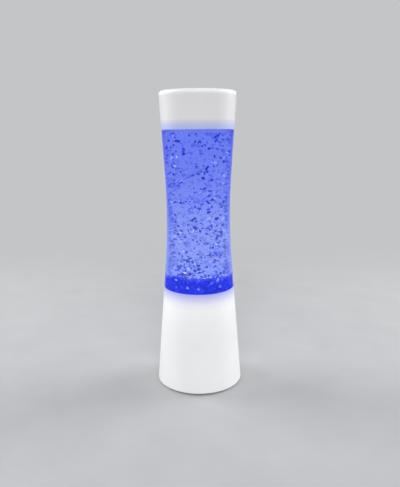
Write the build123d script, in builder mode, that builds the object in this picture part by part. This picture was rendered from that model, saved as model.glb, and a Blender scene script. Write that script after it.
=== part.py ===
from build123d import *
from math import asin, atan2, copysign, cos, hypot, radians, sin, sqrt
import os

# Hourglass glitter lamp: a clear bottle of glitter liquid between a flared base and a pull-off cap.
# The base holds three cells, a slide switch, a ring of light-emitting diodes and a small motor.
# The motor turns two magnets under the bottle, and they drag the stirrer round inside it.
# Millimetres, +Z up, origin on the table at the centre of the base.

# Outer form: two straight flanks joined by one long waist arc, whose radius is a share of
# the largest one that would still touch both flanks
overall_height = 320
foot_height = 1.5
top_radius = 40.8
waist_draw = 6.3
waist_height = 192.5
waist_arc_share = 0.541
base_height = 109
cap_height = 39.5

# Walls
shell_wall = 2.4
cap_wall = 2.0
bottle_wall = 1.2

# Clearances
fit_gap = 0.3
bond_gap = 0.05
film_gap = 0.1
cut_over = 1.0

# Bottle in the base
spigot_depth = 12
ledge_thickness = 2.4
ledge_width = 7.9

# Bottle neck, stopper and the room above them in the cap
crown_rise = 5
neck_radius = 13.3
neck_bore_radius = 10.9
neck_length = 17
neck_ring_radius = 16.5
neck_ring_thickness = 2
neck_ring_rise = 2
liner_thickness = 1.0
stopper_top_thickness = 1.8
stopper_headroom = 3.6

# Cells
cell_radius = 7.1
cell_length = 50.5
cell_pitch = 14.7
cell_count = 3
contact_room = 3.5

# Bottom cover and battery door; the base is as wide as the door and its screw need
cover_thickness = 3.0
door_thickness = 2.0
door_lap = 2.0
door_screw_overhang = 4.75
door_tab_radius = 4
base_margin = 8
well_wall = 1.6

# Motor and turning magnets
motor_radius = 12.2
motor_height = 12.3
shaft_radius = 1.0
hub_radius = 12.5
hub_thickness = 4.2
magnet_offset = 7.2
magnet_count = 2
magnet_thickness = 3
stirrer_radius = 13.5

well_length = cell_length + 2 * contact_room
well_width = cell_pitch * cell_count
door_length = well_length + 2 * door_lap
door_width = well_width + 2 * door_lap
door_screw_x = door_length / 2 + door_screw_overhang
base_bottom_radius = door_screw_x + door_tab_radius + base_margin
waist_radius = top_radius - waist_draw
base_rim_height = foot_height + base_height
cap_rim_height = overall_height - cap_height
cover_top = foot_height + cover_thickness
seat_height = base_rim_height - spigot_depth
ledge_underside = seat_height - ledge_thickness


def largest_waist_arc(end_radius, end_height):
    """Radius of the arc that touches the waist and ends at the given point."""
    out = end_radius - waist_radius
    along = end_height - waist_height
    return (out**2 + along**2) / (2 * out)


waist_arc_radius = waist_arc_share * min(
    largest_waist_arc(base_bottom_radius, foot_height),
    largest_waist_arc(top_radius, overall_height),
)
waist_centre_radius = waist_radius + waist_arc_radius


def flank_tangent(end_radius, end_height, inset):
    """Where the straight flank from an end point meets the waist arc, on a wall set in by inset."""
    arc_radius = waist_arc_radius + inset
    across = waist_centre_radius - end_radius
    along = waist_height - end_height
    reach = hypot(across, along)
    run = sqrt(reach**2 - arc_radius**2)
    heading = atan2(along, across) + copysign(asin(arc_radius / reach), along)
    return (end_radius + run * cos(heading), end_height + run * sin(heading))


def outer_radius(height):
    """Radius of the lamp's outer form at a height."""
    low = flank_tangent(base_bottom_radius, foot_height, 0)
    high = flank_tangent(top_radius, overall_height, 0)
    if height <= low[1]:
        share = (height - foot_height) / (low[1] - foot_height)
        return base_bottom_radius + share * (low[0] - base_bottom_radius)
    if height >= high[1]:
        share = (overall_height - height) / (overall_height - high[1])
        return top_radius + share * (high[0] - top_radius)
    return waist_centre_radius - sqrt(waist_arc_radius**2 - (height - waist_height) ** 2)


def hourglass_side(inset, low_height, high_height):
    """Draws flank, waist arc and flank into the open BuildLine, and returns its two ends."""
    arc_low = low_end = (outer_radius(low_height) - inset, low_height)
    arc_high = high_end = (outer_radius(high_height) - inset, high_height)
    if low_height < flank_tangent(base_bottom_radius, foot_height, 0)[1]:
        arc_low = flank_tangent(*low_end, inset)
        Line(low_end, arc_low)
    if high_height > flank_tangent(top_radius, overall_height, 0)[1]:
        arc_high = flank_tangent(*high_end, inset)
        Line(arc_high, high_end)
    ThreePointArc(arc_low, (waist_radius - inset, waist_height), arc_high)
    return low_end, high_end


# Screws: pan heads, shank pointing up; those that show have their cross recess and bevelled edge
screw_head_radius = 2.8
screw_head_height = 1.6
screw_shank_radius = 1.3
screw_recess_width = 0.8
screw_recess_length = 3.2
screw_recess_depth = 0.8
screw_head_edge = 0.6


def pan_screw(shank_length, size_share=1, shows=False):
    """A screw with its head's underside at the origin, and every size but its length shared down."""
    with BuildPart() as screw:
        with BuildSketch(Plane.XY.offset(-screw_head_height * size_share)):
            Circle(screw_head_radius * size_share)
        extrude(amount=screw_head_height * size_share)
        if shows:
            chamfer(screw.edges().sort_by(Axis.Z)[0], screw_head_edge * size_share)
            with BuildSketch(Plane.XY.offset(-screw_head_height * size_share)):
                Rectangle(screw_recess_length * size_share, screw_recess_width * size_share)
                Rectangle(screw_recess_width * size_share, screw_recess_length * size_share)
            extrude(amount=screw_recess_depth * size_share, mode=Mode.SUBTRACT)
        with BuildSketch(Plane.XY):
            Circle(screw_shank_radius * size_share)
        extrude(amount=shank_length)
    return screw.part


# Base shell: moulded cone with a ledge for the bottle, bosses for the deck and for the cover
base_edge_radius = 1.2
rim_edge_radius = 0.4
deck_drop = 11.2
deck_screw_count = 3
deck_boss_radius = 3.2
deck_boss_inset = 0.2
deck_pilot_depth = 8.5
cover_screw_inset = 5.5
cover_screw_angles = (65, 115, 245, 295)
cover_boss_radius = 3.6
cover_boss_length = 18
cover_pilot_depth = 10
boss_web_width = 2
pilot_radius = screw_shank_radius + bond_gap

rim_radius = outer_radius(base_rim_height)
light_opening_radius = rim_radius - shell_wall - ledge_width
deck_screw_radius = light_opening_radius + deck_boss_inset + deck_boss_radius
cover_radius = outer_radius(cover_top) - shell_wall - fit_gap
cover_screw_radius = cover_radius - cover_screw_inset
deck_top = ledge_underside - deck_drop


def on_circle(radius, angles):
    """Points in plan at the given angles round a circle."""
    return [(radius * cos(radians(a)), radius * sin(radians(a))) for a in angles]


cover_screw_places = on_circle(cover_screw_radius, cover_screw_angles)

with BuildPart() as base_shell:
    with BuildSketch(Plane.XZ):
        with BuildLine():
            Polyline(
                (0, foot_height),
                (base_bottom_radius, foot_height),
                (rim_radius, base_rim_height),
                (0, base_rim_height),
                close=True,
            )
        make_face()
    revolve(axis=Axis.Z)
    fillet(base_shell.edges().sort_by(Axis.Z)[0], base_edge_radius)
    fillet(base_shell.edges().sort_by(Axis.Z)[-1], rim_edge_radius)
    outer_cone = base_shell.part
    # hollow below the ledge
    with BuildSketch(Plane.XZ):
        with BuildLine():
            Polyline(
                (0, foot_height - cut_over),
                (base_bottom_radius - shell_wall, foot_height - cut_over),
                (base_bottom_radius - shell_wall, foot_height),
                (outer_radius(ledge_underside) - shell_wall, ledge_underside),
                (0, ledge_underside),
                close=True,
            )
        make_face()
    revolve(axis=Axis.Z, mode=Mode.SUBTRACT)
    # mouth above the ledge, where the bottle stands
    with BuildSketch(Plane.XZ):
        with BuildLine():
            Polyline(
                (0, seat_height),
                (outer_radius(seat_height) - shell_wall, seat_height),
                (rim_radius - shell_wall, base_rim_height),
                (rim_radius - shell_wall, base_rim_height + cut_over),
                (0, base_rim_height + cut_over),
                close=True,
            )
        make_face()
    revolve(axis=Axis.Z, mode=Mode.SUBTRACT)
    with BuildSketch(Plane.XY.offset(ledge_underside - cut_over)):
        Circle(light_opening_radius)
    extrude(amount=ledge_thickness + 2 * cut_over, mode=Mode.SUBTRACT)
    # bosses that hang from the ledge
    with BuildSketch(Plane.XY.offset(deck_top)):
        with PolarLocations(deck_screw_radius, deck_screw_count):
            Circle(deck_boss_radius)
    extrude(amount=ledge_underside - deck_top)
    with BuildSketch(Plane.XY.offset(deck_top)):
        with PolarLocations(deck_screw_radius, deck_screw_count):
            Circle(pilot_radius)
    extrude(amount=deck_pilot_depth, mode=Mode.SUBTRACT)
    # bosses on the wall for the bottom cover
    with BuildSketch(Plane.XY.offset(cover_top)):
        with Locations(*cover_screw_places):
            Circle(cover_boss_radius)
        for angle in cover_screw_angles:
            with Locations(Location((0, 0), angle)):
                with Locations((cover_screw_radius, 0)):
                    Rectangle(
                        base_bottom_radius - cover_screw_radius,
                        boss_web_width,
                        align=(Align.MIN, Align.CENTER),
                    )
    extrude(amount=cover_boss_length)
    with BuildSketch(Plane.XY.offset(cover_top)):
        with Locations(*cover_screw_places):
            Circle(pilot_radius)
    extrude(amount=cover_pilot_depth, mode=Mode.SUBTRACT)
    add(outer_cone, mode=Mode.INTERSECT)
base_shell.part.label = "base_shell"

# Battery door: lifts at the screw end and turns about its hooked end
door_corner = 2
door_edge = 0.4
door_top = foot_height + door_thickness
hook_width = 3
hook_thickness = 1.4
hook_rise = 3.5
nib_thickness = 1.5
nib_reach = 3.05
hook_spread = cell_pitch / 2
door_head_depth = 1.2
door_screw_length = 4.8
door_screw_share = 0.9
door_grip_count = 4
door_grip_pitch = 3
door_grip_width = 1
door_grip_length = 16
door_grip_depth = 0.5
door_grip_inset = 8


def door_outline(grow):
    """Draws the door's plan into the open BuildSketch, larger all round by grow."""
    RectangleRounded(door_length + 2 * grow, door_width + 2 * grow, door_corner + grow)
    with Locations((door_screw_x, 0)):
        Circle(door_tab_radius + grow)
        Rectangle(
            door_screw_x,
            2 * (door_tab_radius + grow),
            align=(Align.MAX, Align.CENTER),
        )


with BuildPart() as battery_door:
    with BuildSketch(Plane.XY.offset(foot_height)):
        door_outline(0)
    extrude(amount=door_thickness)
    chamfer(battery_door.faces().sort_by(Axis.Z)[0].outer_wire().edges(), door_edge)
    # hooks that reach through the end wall of the battery well
    hook_outer_x = -(well_length / 2 - fit_gap)
    with BuildSketch(Plane.XY.offset(door_top)):
        with Locations((hook_outer_x, hook_spread), (hook_outer_x, -hook_spread)):
            Rectangle(hook_thickness, hook_width, align=(Align.MIN, Align.CENTER))
    extrude(amount=hook_rise)
    with BuildSketch(Plane.XY.offset(door_top + hook_rise)):
        with Locations((hook_outer_x, hook_spread), (hook_outer_x, -hook_spread)):
            Rectangle(nib_reach, hook_width, align=(Align.MAX, Align.CENTER))
    extrude(amount=-nib_thickness)
    # finger grips beside the screw
    with BuildSketch(Plane.XY.offset(foot_height)):
        with Locations((door_length / 2 - door_grip_inset, 0)):
            with GridLocations(door_grip_pitch, 0, door_grip_count, 1):
                SlotOverall(door_grip_length, door_grip_width, rotation=90)
    extrude(amount=door_grip_depth, mode=Mode.SUBTRACT)
    with Locations(Location((door_screw_x, 0, foot_height), (180, 0, 0))):
        CounterBoreHole(
            radius=screw_shank_radius * door_screw_share + fit_gap,
            counter_bore_radius=screw_head_radius * door_screw_share + fit_gap,
            counter_bore_depth=door_head_depth,
        )
battery_door.part.label = "battery_door"

door_screw_seat = foot_height + door_head_depth
with BuildPart() as door_screw:
    with Locations((door_screw_x, 0, door_screw_seat)):
        add(pan_screw(door_screw_length, door_screw_share, shows=True))
    # the head is ground down flush with the door
    with BuildSketch(Plane.XY.offset(foot_height)):
        with Locations((door_screw_x, 0)):
            Circle(door_tab_radius)
    extrude(amount=-(cut_over + screw_head_height), mode=Mode.SUBTRACT)
door_screw.part.label = "door_screw"

# Bottom cover: closes the base and carries the battery well, switch and feet
cell_axis_height = door_top + fit_gap + cell_radius
well_ceiling = cell_axis_height + cell_radius + fit_gap
well_roof_top = well_ceiling + well_wall
well_corner = 1.5
divider_depth = 3
divider_width = 1
door_boss_radius = 3.4
door_boss_height = 5
door_bore_radius = 1.75
slot_height = 3
cover_head_depth = 2.0
foot_radius = 4.5
foot_pocket_depth = 0.8
foot_inset = 5
foot_angles = (50, 130, 230, 310)
foot_edge = 0.5
switch_inset = 10.5
switch_travel = 4
stem_length = 2.4
stem_width = 2
scoop_length = 15
scoop_width = 8
scoop_depth = 1.0
switch_ear_thickness = 1.0
switch_screw_spread = 17
switch_screw_share = 0.45
switch_screw_length = 3
tab_width = 3
tab_rise = 2
contact_thickness = 0.4
foot_places = on_circle(cover_radius - foot_inset, foot_angles)
switch_y = cover_radius - switch_inset
tab_x = well_length / 2 - bond_gap - contact_thickness / 2
wired_tabs = ((tab_x, -cell_pitch), (-tab_x, cell_pitch))

with BuildPart() as bottom_cover:
    with BuildSketch(Plane.XY.offset(foot_height)):
        Circle(cover_radius)
    extrude(amount=cover_thickness)
    with BuildSketch(Plane.XY.offset(cover_top)):
        RectangleRounded(well_length + 2 * well_wall, well_width + 2 * well_wall, well_corner)
    extrude(amount=well_roof_top - cover_top)
    with BuildSketch(Plane.XY.offset(cover_top)):
        with Locations((door_screw_x, 0)):
            Circle(door_boss_radius)
    extrude(amount=door_boss_height)
    # the well, open below, and the rebate that the door lies in
    with BuildSketch(Plane.XY.offset(foot_height)):
        Rectangle(well_length, well_width)
    extrude(amount=well_ceiling - foot_height, mode=Mode.SUBTRACT)
    with BuildSketch(Plane.XY.offset(foot_height)):
        door_outline(fit_gap)
    extrude(amount=door_thickness, mode=Mode.SUBTRACT)
    with BuildSketch(Plane.XY.offset(well_ceiling)):
        with GridLocations(0, cell_pitch, 1, cell_count - 1):
            Rectangle(well_length - 2 * contact_room, divider_width)
    extrude(amount=-divider_depth)
    # slots for the door's hooks
    with BuildSketch(Plane.XY.offset(cover_top)):
        with Locations((-well_length / 2, hook_spread), (-well_length / 2, -hook_spread)):
            Rectangle(
                well_wall + cut_over,
                hook_width + 2 * fit_gap,
                align=(Align.MAX, Align.CENTER),
            )
    extrude(amount=slot_height, mode=Mode.SUBTRACT)
    with BuildSketch(Plane.XY.offset(door_top - cut_over)):
        with Locations((door_screw_x, 0)):
            Circle(door_bore_radius)
    extrude(amount=cover_top + door_boss_height - door_top + 2 * cut_over, mode=Mode.SUBTRACT)
    # counterbored holes for the cover screws, and pockets for the feet
    with Locations(*[Location((x, y, foot_height), (180, 0, 0)) for x, y in cover_screw_places]):
        CounterBoreHole(
            radius=screw_shank_radius + fit_gap,
            counter_bore_radius=screw_head_radius + fit_gap,
            counter_bore_depth=cover_head_depth,
        )
    with BuildSketch(Plane.XY.offset(foot_height)):
        with Locations(*foot_places):
            Circle(foot_radius + film_gap)
    extrude(amount=foot_pocket_depth, mode=Mode.SUBTRACT)
    # finger scoop and slot for the switch
    with BuildSketch(Plane.XY.offset(foot_height)):
        with Locations((0, switch_y)):
            SlotOverall(scoop_length, scoop_width)
    extrude(amount=scoop_depth, mode=Mode.SUBTRACT)
    with BuildSketch(Plane.XY.offset(foot_height)):
        with Locations((0, switch_y)):
            Rectangle(stem_length + switch_travel + 2 * fit_gap, stem_width + 2 * fit_gap)
    extrude(amount=cover_thickness, mode=Mode.SUBTRACT)
    with BuildSketch(Plane.XY.offset(cover_top)):
        with Locations((0, switch_y)):
            with GridLocations(switch_screw_spread, 0, 2, 1):
                Circle(screw_shank_radius * switch_screw_share + bond_gap)
    extrude(amount=switch_ear_thickness - switch_screw_length - bond_gap, mode=Mode.SUBTRACT)
    # slots in the well's roof for the two contacts that are wired
    with BuildSketch(Plane.XY.offset(well_ceiling)):
        with Locations(*wired_tabs):
            Rectangle(contact_thickness + 2 * fit_gap, tab_width + 2 * fit_gap)
    extrude(amount=well_wall, mode=Mode.SUBTRACT)
bottom_cover.part.label = "bottom_cover"

with BuildPart() as feet:
    with BuildSketch(Plane.XY):
        with Locations(*foot_places):
            Circle(foot_radius)
    extrude(amount=foot_height + foot_pocket_depth)
    chamfer(feet.edges().group_by(Axis.Z)[0], foot_edge)
feet.part.label = "feet"

with BuildPart() as cover_screws:
    with Locations(*[(x, y, foot_height + cover_head_depth) for x, y in cover_screw_places]):
        add(pan_screw(cover_thickness - cover_head_depth + cover_pilot_depth - cut_over, shows=True))
cover_screws.part.label = "cover_screws"

# Cells, laid nose to tail, with the nub of each against a plain contact
nub_radius = 2.75
nub_length = 1.0
cell_groove_depth = 0.3
cell_groove_width = 0.8
cell_groove_inset = 2.5
contact_dimple = 1.0
contact_dimple_radius = 2.4
cell_body_length = cell_length - nub_length
nub_end_x = well_length / 2 - contact_thickness - contact_dimple - bond_gap
cell_rows = [(row, 1 if row % 2 == 0 else -1) for row in range(cell_count)]


def cell_row_y(row):
    """How far a row of cells lies from the middle one."""
    return (row - (cell_count - 1) / 2) * cell_pitch


with BuildPart() as batteries:
    for row, side in cell_rows:
        cell_plane = Plane(
            origin=(side * nub_end_x, cell_row_y(row), cell_axis_height),
            z_dir=(-side, 0, 0),
        )
        with BuildSketch(cell_plane):
            Circle(nub_radius)
        extrude(amount=nub_length)
        with BuildSketch(cell_plane.offset(nub_length)):
            Circle(cell_radius)
        extrude(amount=cell_body_length)
        with BuildSketch(cell_plane.offset(nub_length + cell_groove_inset)):
            Circle(cell_radius)
            Circle(cell_radius - cell_groove_depth, mode=Mode.SUBTRACT)
        extrude(amount=cell_groove_width, mode=Mode.SUBTRACT)
batteries.part.label = "batteries"

# Contacts: bridging plates and end plates, each cell with a dimple at the nub and a leaf at the tail
contact_low = 7.9
contact_high = 17.0
contact_margin = 1.2
leaf_width = 6
leaf_root_drop = 1.2
leaf_end_drop = 2.6
leaf_end_share = 0.35
tail_gap = nub_end_x + well_length / 2 - cell_length
tab_top = well_roof_top + tab_rise

with BuildPart() as battery_contacts:
    # plates: rows joined in pairs at alternate ends, so that the cells stand in series
    for side, joined in ((1, ((0,), (1, 2))), (-1, ((0, 1), (2,)))):
        for rows in joined:
            low_y = cell_row_y(rows[0]) - cell_pitch / 2 + contact_margin
            high_y = cell_row_y(rows[-1]) + cell_pitch / 2 - contact_margin
            with BuildSketch(Plane.XY.offset(contact_low)):
                with Locations((side * (well_length / 2 - bond_gap), (low_y + high_y) / 2)):
                    Rectangle(
                        contact_thickness,
                        high_y - low_y,
                        align=(Align.MAX if side > 0 else Align.MIN, Align.CENTER),
                    )
            extrude(amount=contact_high - contact_low)
    for row, side in cell_rows:
        inner_face = well_length / 2 - bond_gap - contact_thickness
        with BuildSketch(
            Plane(
                origin=(side * inner_face, cell_row_y(row), cell_axis_height),
                z_dir=(-side, 0, 0),
            )
        ):
            Circle(contact_dimple_radius)
        extrude(amount=contact_dimple - bond_gap)
        leaf_root_x = inner_face + contact_thickness / 2
        leaf_tip_x = well_length / 2 - tail_gap + fit_gap + contact_thickness
        with BuildSketch(Plane.XZ.offset(-cell_row_y(row))):
            with BuildLine():
                Polyline(
                    (-side * leaf_root_x, contact_high - leaf_root_drop),
                    (-side * leaf_tip_x, cell_axis_height),
                    (
                        -side * (leaf_tip_x + leaf_end_share * (leaf_root_x - leaf_tip_x)),
                        cell_axis_height - leaf_end_drop,
                    ),
                )
            trace(line_width=contact_thickness)
        extrude(amount=leaf_width / 2, both=True)
    # tabs that come up through the roof for the leads
    with BuildSketch(Plane.XY.offset(contact_high)):
        with Locations(*wired_tabs):
            Rectangle(contact_thickness, tab_width)
    extrude(amount=tab_top - contact_high)
battery_contacts.part.label = "battery_contacts"

# Slide switch: the slider's stem comes down through the cover into the scoop
switch_length = 13
switch_width = 7
switch_height = 5
switch_ear_length = 20
switch_wall = 0.8
slider_plate_length = 5
slider_plate_height = 2
slider_on_x = 2
knob_recess = 0.2
knob_edge = 0.2
terminal_count = 3
terminal_pitch = 3
terminal_width = 1.2
terminal_thickness = 0.4
terminal_rise = 3
cavity_length = slider_plate_length + switch_travel + 2 * fit_gap
cavity_width = switch_width - 2 * switch_wall
cavity_height = slider_plate_height + 2 * fit_gap

with BuildPart() as switch_body:
    with BuildSketch(Plane.XY.offset(cover_top)):
        with Locations((0, switch_y)):
            Rectangle(switch_length, switch_width)
    extrude(amount=switch_height)
    with BuildSketch(Plane.XY.offset(cover_top)):
        with Locations((0, switch_y)):
            Rectangle(switch_ear_length, switch_width)
            with GridLocations(switch_screw_spread, 0, 2, 1):
                Circle(screw_shank_radius * switch_screw_share + bond_gap, mode=Mode.SUBTRACT)
    extrude(amount=switch_ear_thickness)
    with BuildSketch(Plane.XY.offset(cover_top)):
        with Locations((0, switch_y)):
            Rectangle(cavity_length, cavity_width)
    extrude(amount=cavity_height, mode=Mode.SUBTRACT)
    with BuildSketch(Plane.XY.offset(cover_top + switch_height)):
        with Locations((0, switch_y)):
            with GridLocations(terminal_pitch, 0, terminal_count, 1):
                Rectangle(terminal_width, terminal_thickness)
    extrude(amount=terminal_rise)
switch_body.part.label = "switch_body"

with BuildPart() as switch_slider:
    with BuildSketch(Plane.XY.offset(cover_top + fit_gap)):
        with Locations((slider_on_x, switch_y)):
            Rectangle(slider_plate_length, cavity_width - 2 * fit_gap)
    extrude(amount=slider_plate_height)
    with BuildSketch(Plane.XY.offset(foot_height + knob_recess)):
        with Locations((slider_on_x, switch_y)):
            Rectangle(stem_length, stem_width)
    extrude(amount=cover_top + fit_gap - foot_height - knob_recess)
    fillet(switch_slider.edges().group_by(Axis.Z)[0], knob_edge)
switch_slider.part.label = "switch_slider"

with BuildPart() as switch_screws:
    for side in (1, -1):
        seat = (side * switch_screw_spread / 2, switch_y, cover_top + switch_ear_thickness)
        with Locations(Location(seat, (180, 0, 0))):
            add(pan_screw(switch_screw_length, switch_screw_share))
switch_screws.part.label = "switch_screws"

# Light deck: hangs under the ledge and carries the light board above and the motor below
deck_edge_gap = 2
deck_radius = outer_radius(deck_top) - shell_wall - deck_edge_gap
deck_thickness = 2.4
deck_bottom = deck_top - deck_thickness
motor_boss_radius = 3
motor_boss_height = 1.5
motor_screw_spread = 17
motor_screw_share = 0.6
motor_screw_length = 4
board_inset = 1.5
board_radius = light_opening_radius - board_inset
board_thickness = 1.6
board_bore_radius = 4
board_standoff = 1.0
stake_count = 3
stake_radius = 1.2
stake_foot_radius = 2.4
stake_head_radius = 2.1
stake_head_height = 0.8
stake_gap = 0.9
stake_offset = hub_radius + stake_head_radius + stake_gap
wire_hole_radius = 3.5
wire_inset = 2.5
wire_hole_offset = board_radius - wire_inset
board_bottom = deck_top + board_standoff
board_top = board_bottom + board_thickness

with BuildPart() as light_deck:
    with BuildSketch(Plane.XY.offset(deck_bottom)):
        Circle(deck_radius)
        Circle(motor_boss_radius + fit_gap, mode=Mode.SUBTRACT)
        with Locations((0, wire_hole_offset), (0, -wire_hole_offset)):
            Circle(wire_hole_radius, mode=Mode.SUBTRACT)
        with GridLocations(motor_screw_spread, 0, 2, 1):
            Circle(screw_shank_radius * motor_screw_share + film_gap, mode=Mode.SUBTRACT)
        with PolarLocations(deck_screw_radius, deck_screw_count):
            Circle(screw_shank_radius + film_gap, mode=Mode.SUBTRACT)
    extrude(amount=deck_thickness)
    for radius, low, high in (
        (stake_foot_radius, deck_top, board_bottom),
        (stake_radius, board_bottom, board_top),
        (stake_head_radius, board_top, board_top + stake_head_height),
    ):
        with BuildSketch(Plane.XY.offset(low)):
            with PolarLocations(stake_offset, stake_count, start_angle=90):
                Circle(radius)
        extrude(amount=high - low)
light_deck.part.label = "light_deck"

with BuildPart() as deck_screws:
    with PolarLocations(deck_screw_radius, deck_screw_count):
        with Locations((0, 0, deck_bottom)):
            add(pan_screw(deck_thickness + deck_pilot_depth - cut_over))
deck_screws.part.label = "deck_screws"

# Light board: round, with four domed diodes and a few small parts
diode_count = 4
diode_inset = 5.5
diode_offset = board_radius - diode_inset
diode_radius = 2.5
diode_flange_radius = 2.9
diode_flange_height = 1.0
diode_height = 8.6
chip_length = 5
chip_width = 4
chip_height = 1.5
chip_offset = 9.5
resistor_length = 3.2
resistor_width = 1.6
resistor_height = 0.7
resistor_inset = 6.5
resistor_offset = board_radius - resistor_inset
resistor_angles = (0, 68, 180, 270)

with BuildPart() as led_board:
    with BuildSketch(Plane.XY.offset(board_bottom)):
        Circle(board_radius)
        Circle(board_bore_radius, mode=Mode.SUBTRACT)
        with PolarLocations(stake_offset, stake_count, start_angle=90):
            Circle(stake_radius + bond_gap, mode=Mode.SUBTRACT)
    extrude(amount=board_thickness)
led_board.part.label = "led_board"

with BuildPart() as leds:
    with BuildSketch(Plane.XY.offset(board_top)):
        with PolarLocations(diode_offset, diode_count, start_angle=45):
            Circle(diode_flange_radius)
    extrude(amount=diode_flange_height)
    with BuildSketch(Plane.XY.offset(board_top + diode_flange_height)):
        with PolarLocations(diode_offset, diode_count, start_angle=45):
            Circle(diode_radius)
    extrude(amount=diode_height - diode_flange_height - diode_radius)
    with PolarLocations(diode_offset, diode_count, start_angle=45):
        with Locations((0, 0, board_top + diode_height - diode_radius)):
            Sphere(diode_radius)
leds.part.label = "leds"

with BuildPart() as board_components:
    with BuildSketch(Plane.XY.offset(board_top)):
        with Locations((0, -chip_offset)):
            Rectangle(chip_length, chip_width)
    extrude(amount=chip_height)
    with BuildSketch(Plane.XY.offset(board_top)):
        for angle in resistor_angles:
            with PolarLocations(resistor_offset, 1, start_angle=angle):
                Rectangle(resistor_width, resistor_length)
    extrude(amount=resistor_height)
board_components.part.label = "board_components"

# Motor: flat round can under the deck, its bearing boss in the deck's bore
motor_edge = 0.8
motor_cap_radius = 9
motor_cap_height = 1.2
motor_tab_spread = 10
motor_tab_width = 2
motor_tab_thickness = 0.4
motor_tab_drop = 3
shaft_top_gap = 1.2
shaft_end_play = 0.5
running_gap = 0.05
motor_bottom = deck_bottom - motor_height
hub_floor_gap = 2.3
hub_top = seat_height - hub_floor_gap
hub_underside = hub_top - hub_thickness
hub_boss_radius = 3
hub_boss_drop = 2.4
magnet_radius = 4
shaft_bottom = motor_bottom + motor_cap_height

with BuildPart() as motor:
    with BuildSketch(Plane.XY.offset(motor_bottom)):
        Circle(motor_radius)
    extrude(amount=motor_height)
    fillet(motor.edges().sort_by(Axis.Z)[0], motor_edge)
    with BuildSketch(Plane.XY.offset(deck_bottom)):
        Circle(motor_boss_radius)
    extrude(amount=motor_boss_height)
    with BuildSketch(Plane.XY.offset(motor_bottom)):
        Circle(motor_cap_radius)
    extrude(amount=-motor_cap_height)
    with BuildSketch(Plane.XY.offset(motor_bottom - motor_cap_height)):
        with GridLocations(motor_tab_spread, 0, 2, 1):
            Rectangle(motor_tab_thickness, motor_tab_width)
    extrude(amount=-motor_tab_drop)
    with BuildSketch(Plane.XY.offset(deck_bottom + motor_boss_height)):
        Circle(shaft_radius + running_gap)
    extrude(
        amount=-(deck_bottom + motor_boss_height - shaft_bottom + shaft_end_play),
        mode=Mode.SUBTRACT,
    )
    with BuildSketch(Plane.XY.offset(deck_bottom)):
        with GridLocations(motor_screw_spread, 0, 2, 1):
            Circle(screw_shank_radius * motor_screw_share + bond_gap)
    extrude(amount=-motor_screw_length, mode=Mode.SUBTRACT)
motor.part.label = "motor"

with BuildPart() as motor_screws:
    for side in (1, -1):
        with Locations(Location((side * motor_screw_spread / 2, 0, deck_top), (180, 0, 0))):
            add(pan_screw(deck_thickness + motor_screw_length - cut_over, motor_screw_share))
motor_screws.part.label = "motor_screws"

with BuildPart() as motor_shaft:
    with BuildSketch(Plane.XY.offset(shaft_bottom)):
        Circle(shaft_radius)
    extrude(amount=hub_top - shaft_top_gap - shaft_bottom)
motor_shaft.part.label = "motor_shaft"

with BuildPart() as magnet_hub:
    with BuildSketch(Plane.XY.offset(hub_underside)):
        Circle(hub_radius)
    extrude(amount=hub_thickness)
    with BuildSketch(Plane.XY.offset(hub_underside)):
        Circle(hub_boss_radius)
    extrude(amount=-hub_boss_drop)
    with BuildSketch(Plane.XY.offset(hub_underside - hub_boss_drop)):
        Circle(shaft_radius + bond_gap)
    extrude(amount=hub_thickness + hub_boss_drop - shaft_top_gap + bond_gap, mode=Mode.SUBTRACT)
    with BuildSketch(Plane.XY.offset(hub_top)):
        with PolarLocations(magnet_offset, magnet_count):
            Circle(magnet_radius + bond_gap)
    extrude(amount=-(magnet_thickness + bond_gap), mode=Mode.SUBTRACT)
magnet_hub.part.label = "magnet_hub"

with BuildPart() as drive_magnets:
    with BuildSketch(Plane.XY.offset(hub_top)):
        with PolarLocations(magnet_offset, magnet_count):
            Circle(magnet_radius)
    extrude(amount=-magnet_thickness)
drive_magnets.part.label = "drive_magnets"

# Leads: soft wires from the cells to the switch and the board, and from the board to the motor
lead_radius = 0.65
lead_bend_radius = 6
lead_turn_radius = 3
lead_lift = 12
lead_run_height = well_roof_top + lead_lift
lead_straight = 12
lead_pitch = 1.8
motor_lead_drop = 7
terminal_top = cover_top + switch_height + terminal_rise
rise_height = deck_bottom - lead_straight


def lead(route, bends):
    """One wire along a route of straight runs and round bends."""
    with BuildPart() as wire:
        with BuildLine():
            centre_line = FilletPolyline(*route, radius=bends)
        with BuildSketch(Plane(origin=centre_line @ 0, z_dir=centre_line % 0)):
            Circle(lead_radius)
        sweep(path=centre_line)
    return wire.part


plus_route = (
    (tab_x, -cell_pitch, tab_top),
    (tab_x, -cell_pitch, lead_run_height),
    (terminal_pitch, switch_y, lead_run_height),
    (terminal_pitch, switch_y, terminal_top),
)
minus_route = (
    (-tab_x, cell_pitch, tab_top),
    (-tab_x, cell_pitch, lead_run_height),
    (-lead_pitch, wire_hole_offset, rise_height),
    (-lead_pitch, wire_hole_offset, board_bottom),
)
switched_route = (
    (0, switch_y, terminal_top),
    (0, switch_y, lead_run_height),
    (0, wire_hole_offset, rise_height),
    (0, wire_hole_offset, board_bottom),
)
with BuildPart() as battery_leads:
    for route in (plus_route, minus_route, switched_route):
        add(lead(route, [lead_bend_radius, lead_bend_radius]))
battery_leads.part.label = "battery_leads"

motor_tab_end = motor_bottom - motor_cap_height - motor_tab_drop
motor_lead_low = motor_tab_end - motor_lead_drop
with BuildPart() as motor_leads:
    for side in (1, -1):
        motor_route = (
            (side * motor_tab_spread / 2, 0, motor_tab_end),
            (side * motor_tab_spread / 2, 0, motor_lead_low),
            (side * lead_pitch, -wire_hole_offset, motor_lead_low),
            (side * lead_pitch, -wire_hole_offset, board_bottom),
        )
        add(lead(motor_route, [lead_turn_radius, lead_bend_radius]))
motor_leads.part.label = "motor_leads"

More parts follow.
